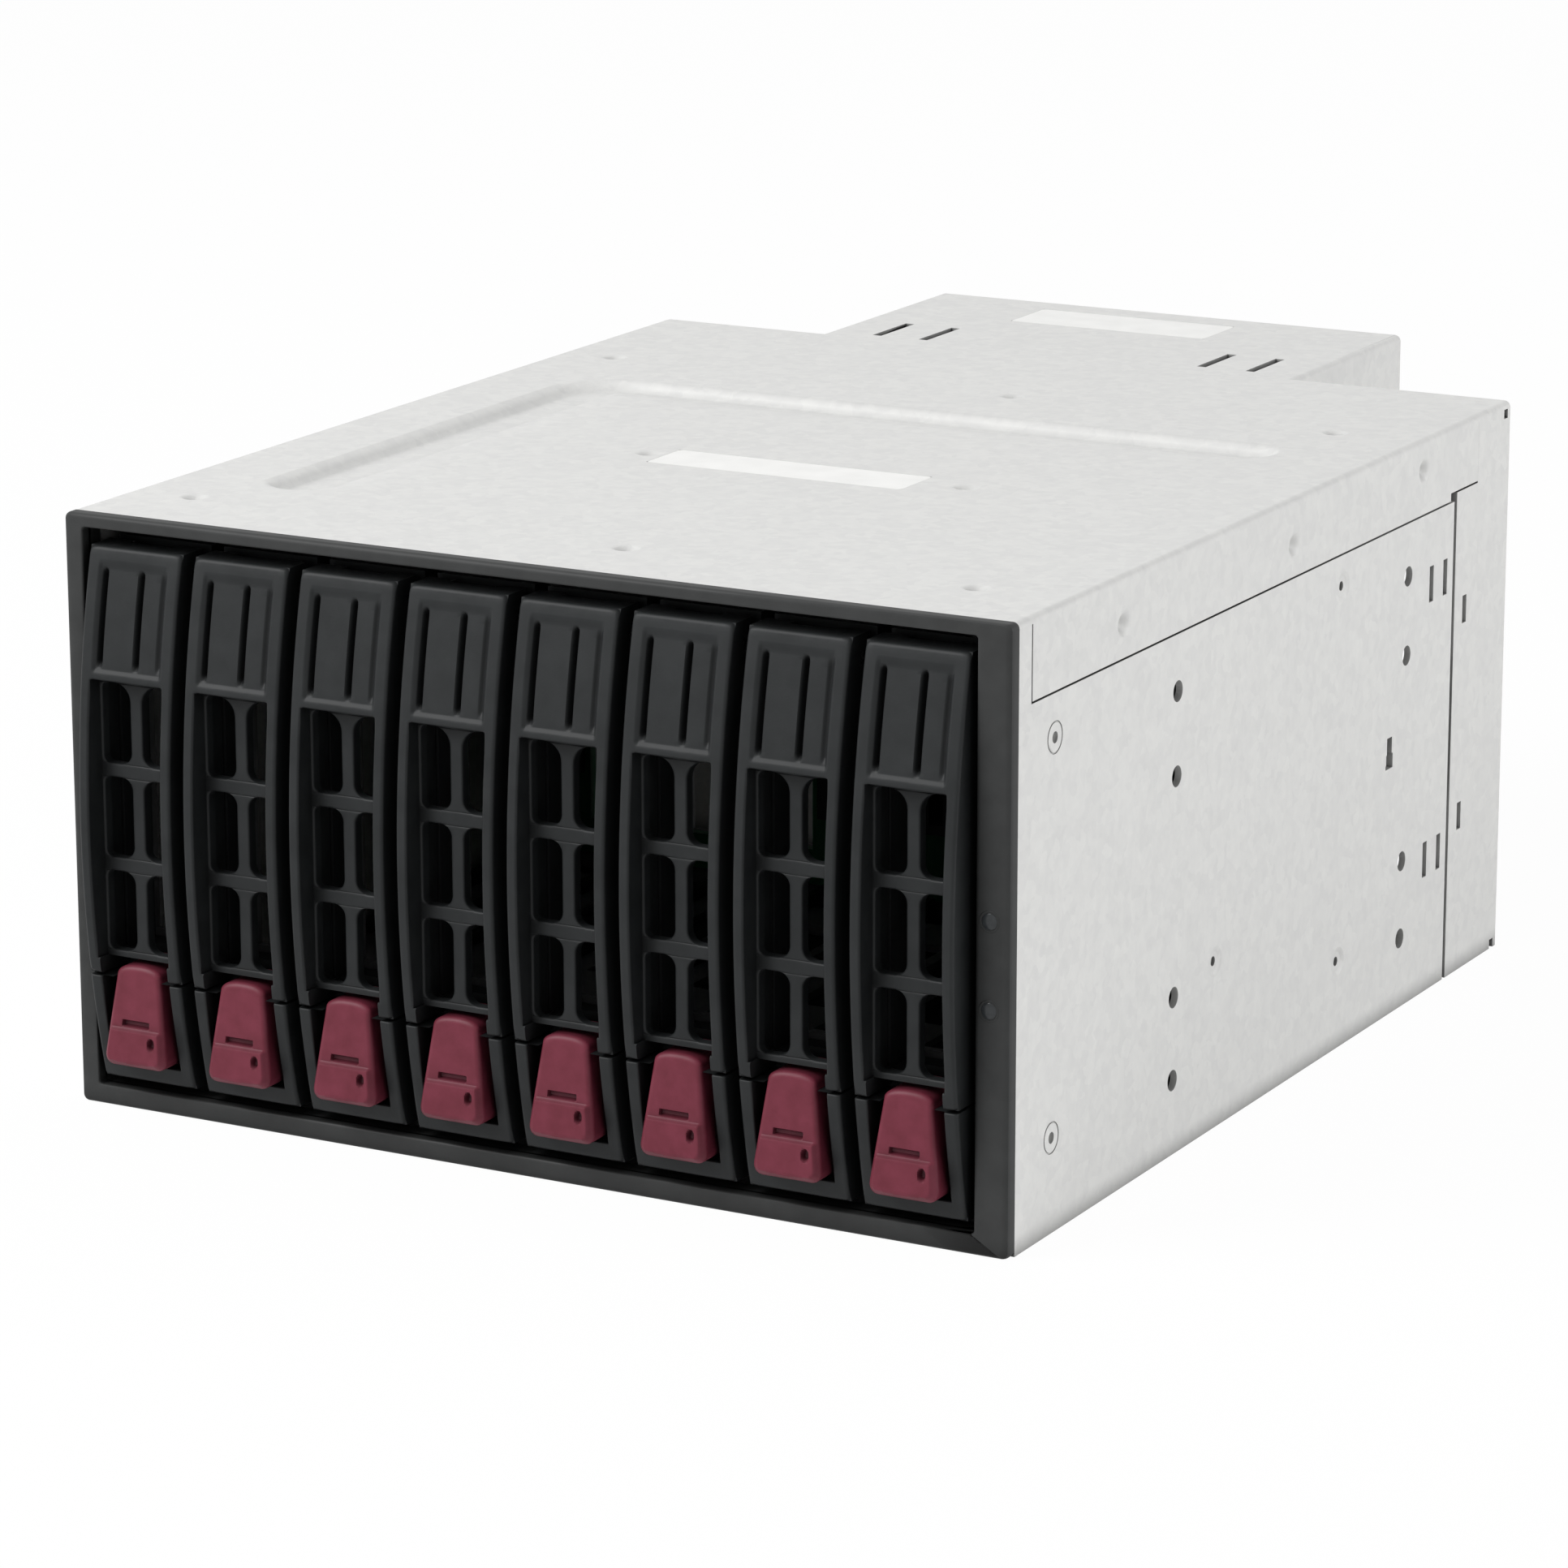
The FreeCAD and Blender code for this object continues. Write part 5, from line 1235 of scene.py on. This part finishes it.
FLOOR_HALF = 6000.0
floor_corners = FLOOR_HALF * np.array([(-1, -1, 0), (1, -1, 0), (1, 1, 0), (-1, 1, 0)])
floor = put("floor", mesh_of("floor", (floor_corners, [(0, 1, 2, 3)])))
coat(floor.data, floor_paint)

world = bpy.data.worlds.new("studio")
scene.world = world
world.use_nodes = True
tree = world.node_tree
tree.nodes.clear()
ambient = add(tree, "ShaderNodeBackground", {"Color": (1, 1, 1, 1), "Strength": AMBIENT})
backdrop = add(tree, "ShaderNodeBackground", {"Color": (1, 1, 1, 1), "Strength": 1.0})
mixed = add(tree, "ShaderNodeMixShader", {0: seen_by_eye(tree), 1: ambient.outputs[0],
                                          2: backdrop.outputs[0]})
add(tree, "ShaderNodeOutputWorld", {"Surface": mixed.outputs[0]})


def softbox(name, place, aim, size, power):
    """Square area lamp at a place, turned to its aim."""
    lamp = bpy.data.lights.new(name, "AREA")
    lamp.size = size
    lamp.energy = power
    holder = put(name, lamp)
    holder.location = place
    holder.rotation_euler = (aim - place).to_track_quat("-Z", "Y").to_euler()


# Where the lamps are from the object's middle, and their sizes, in metres. Powers are in watts.
KEY_LAMP_PLACE, SIDE_LAMP_PLACE = Vector((-0.8, -0.85, 1.05)), Vector((1.3, 0.45, 0.35))
middle = (Vector(cad_box[0]) + Vector(cad_box[1])) / 2
softbox("key", middle + KEY_LAMP_PLACE, middle, size=0.9, power=22)
softbox("side", middle + SIDE_LAMP_PLACE, middle, size=0.8, power=7.5)
scene.view_settings.view_transform = "Standard"

# %% [markdown]
# ## The camera
#
# A long lens a little under a metre away, above the right front corner, as a catalogue picture
# is taken. Its place is a turn round the object and a height above it, both in degrees.

# %% Camera
TURN = math.radians(28.59)
RISE = math.radians(14.70)
ROLL = math.radians(-0.10)
LENS, SENSOR = 139.3, 36.0
AWAY = 864.4
AIM = Vector((0, 58, 40))
ASIDE, UPWARDS = 6.4, 1.3
NEAREST = 0.01

back = Vector((math.sin(TURN) * math.cos(RISE), -math.cos(TURN) * math.cos(RISE),
               math.sin(RISE)))
right = Vector((math.cos(TURN), math.sin(TURN), 0))
up = back.cross(right)
camera_data = bpy.data.cameras.new("camera")
camera_data.lens = LENS
camera_data.sensor_width = SENSOR
camera_data.clip_start = NEAREST
camera = put("camera", camera_data)
camera.location = (AIM + back * AWAY + right * ASIDE + up * UPWARDS) * MM
camera.rotation_euler = back.to_track_quat("Z", "Y").to_euler()
camera.rotation_euler.rotate_axis("Z", ROLL)
scene.camera = camera
print("camera at", tuple(round(value, 4) for value in camera.location))

# %% Bring the scene up to date
bpy.context.view_layer.update()
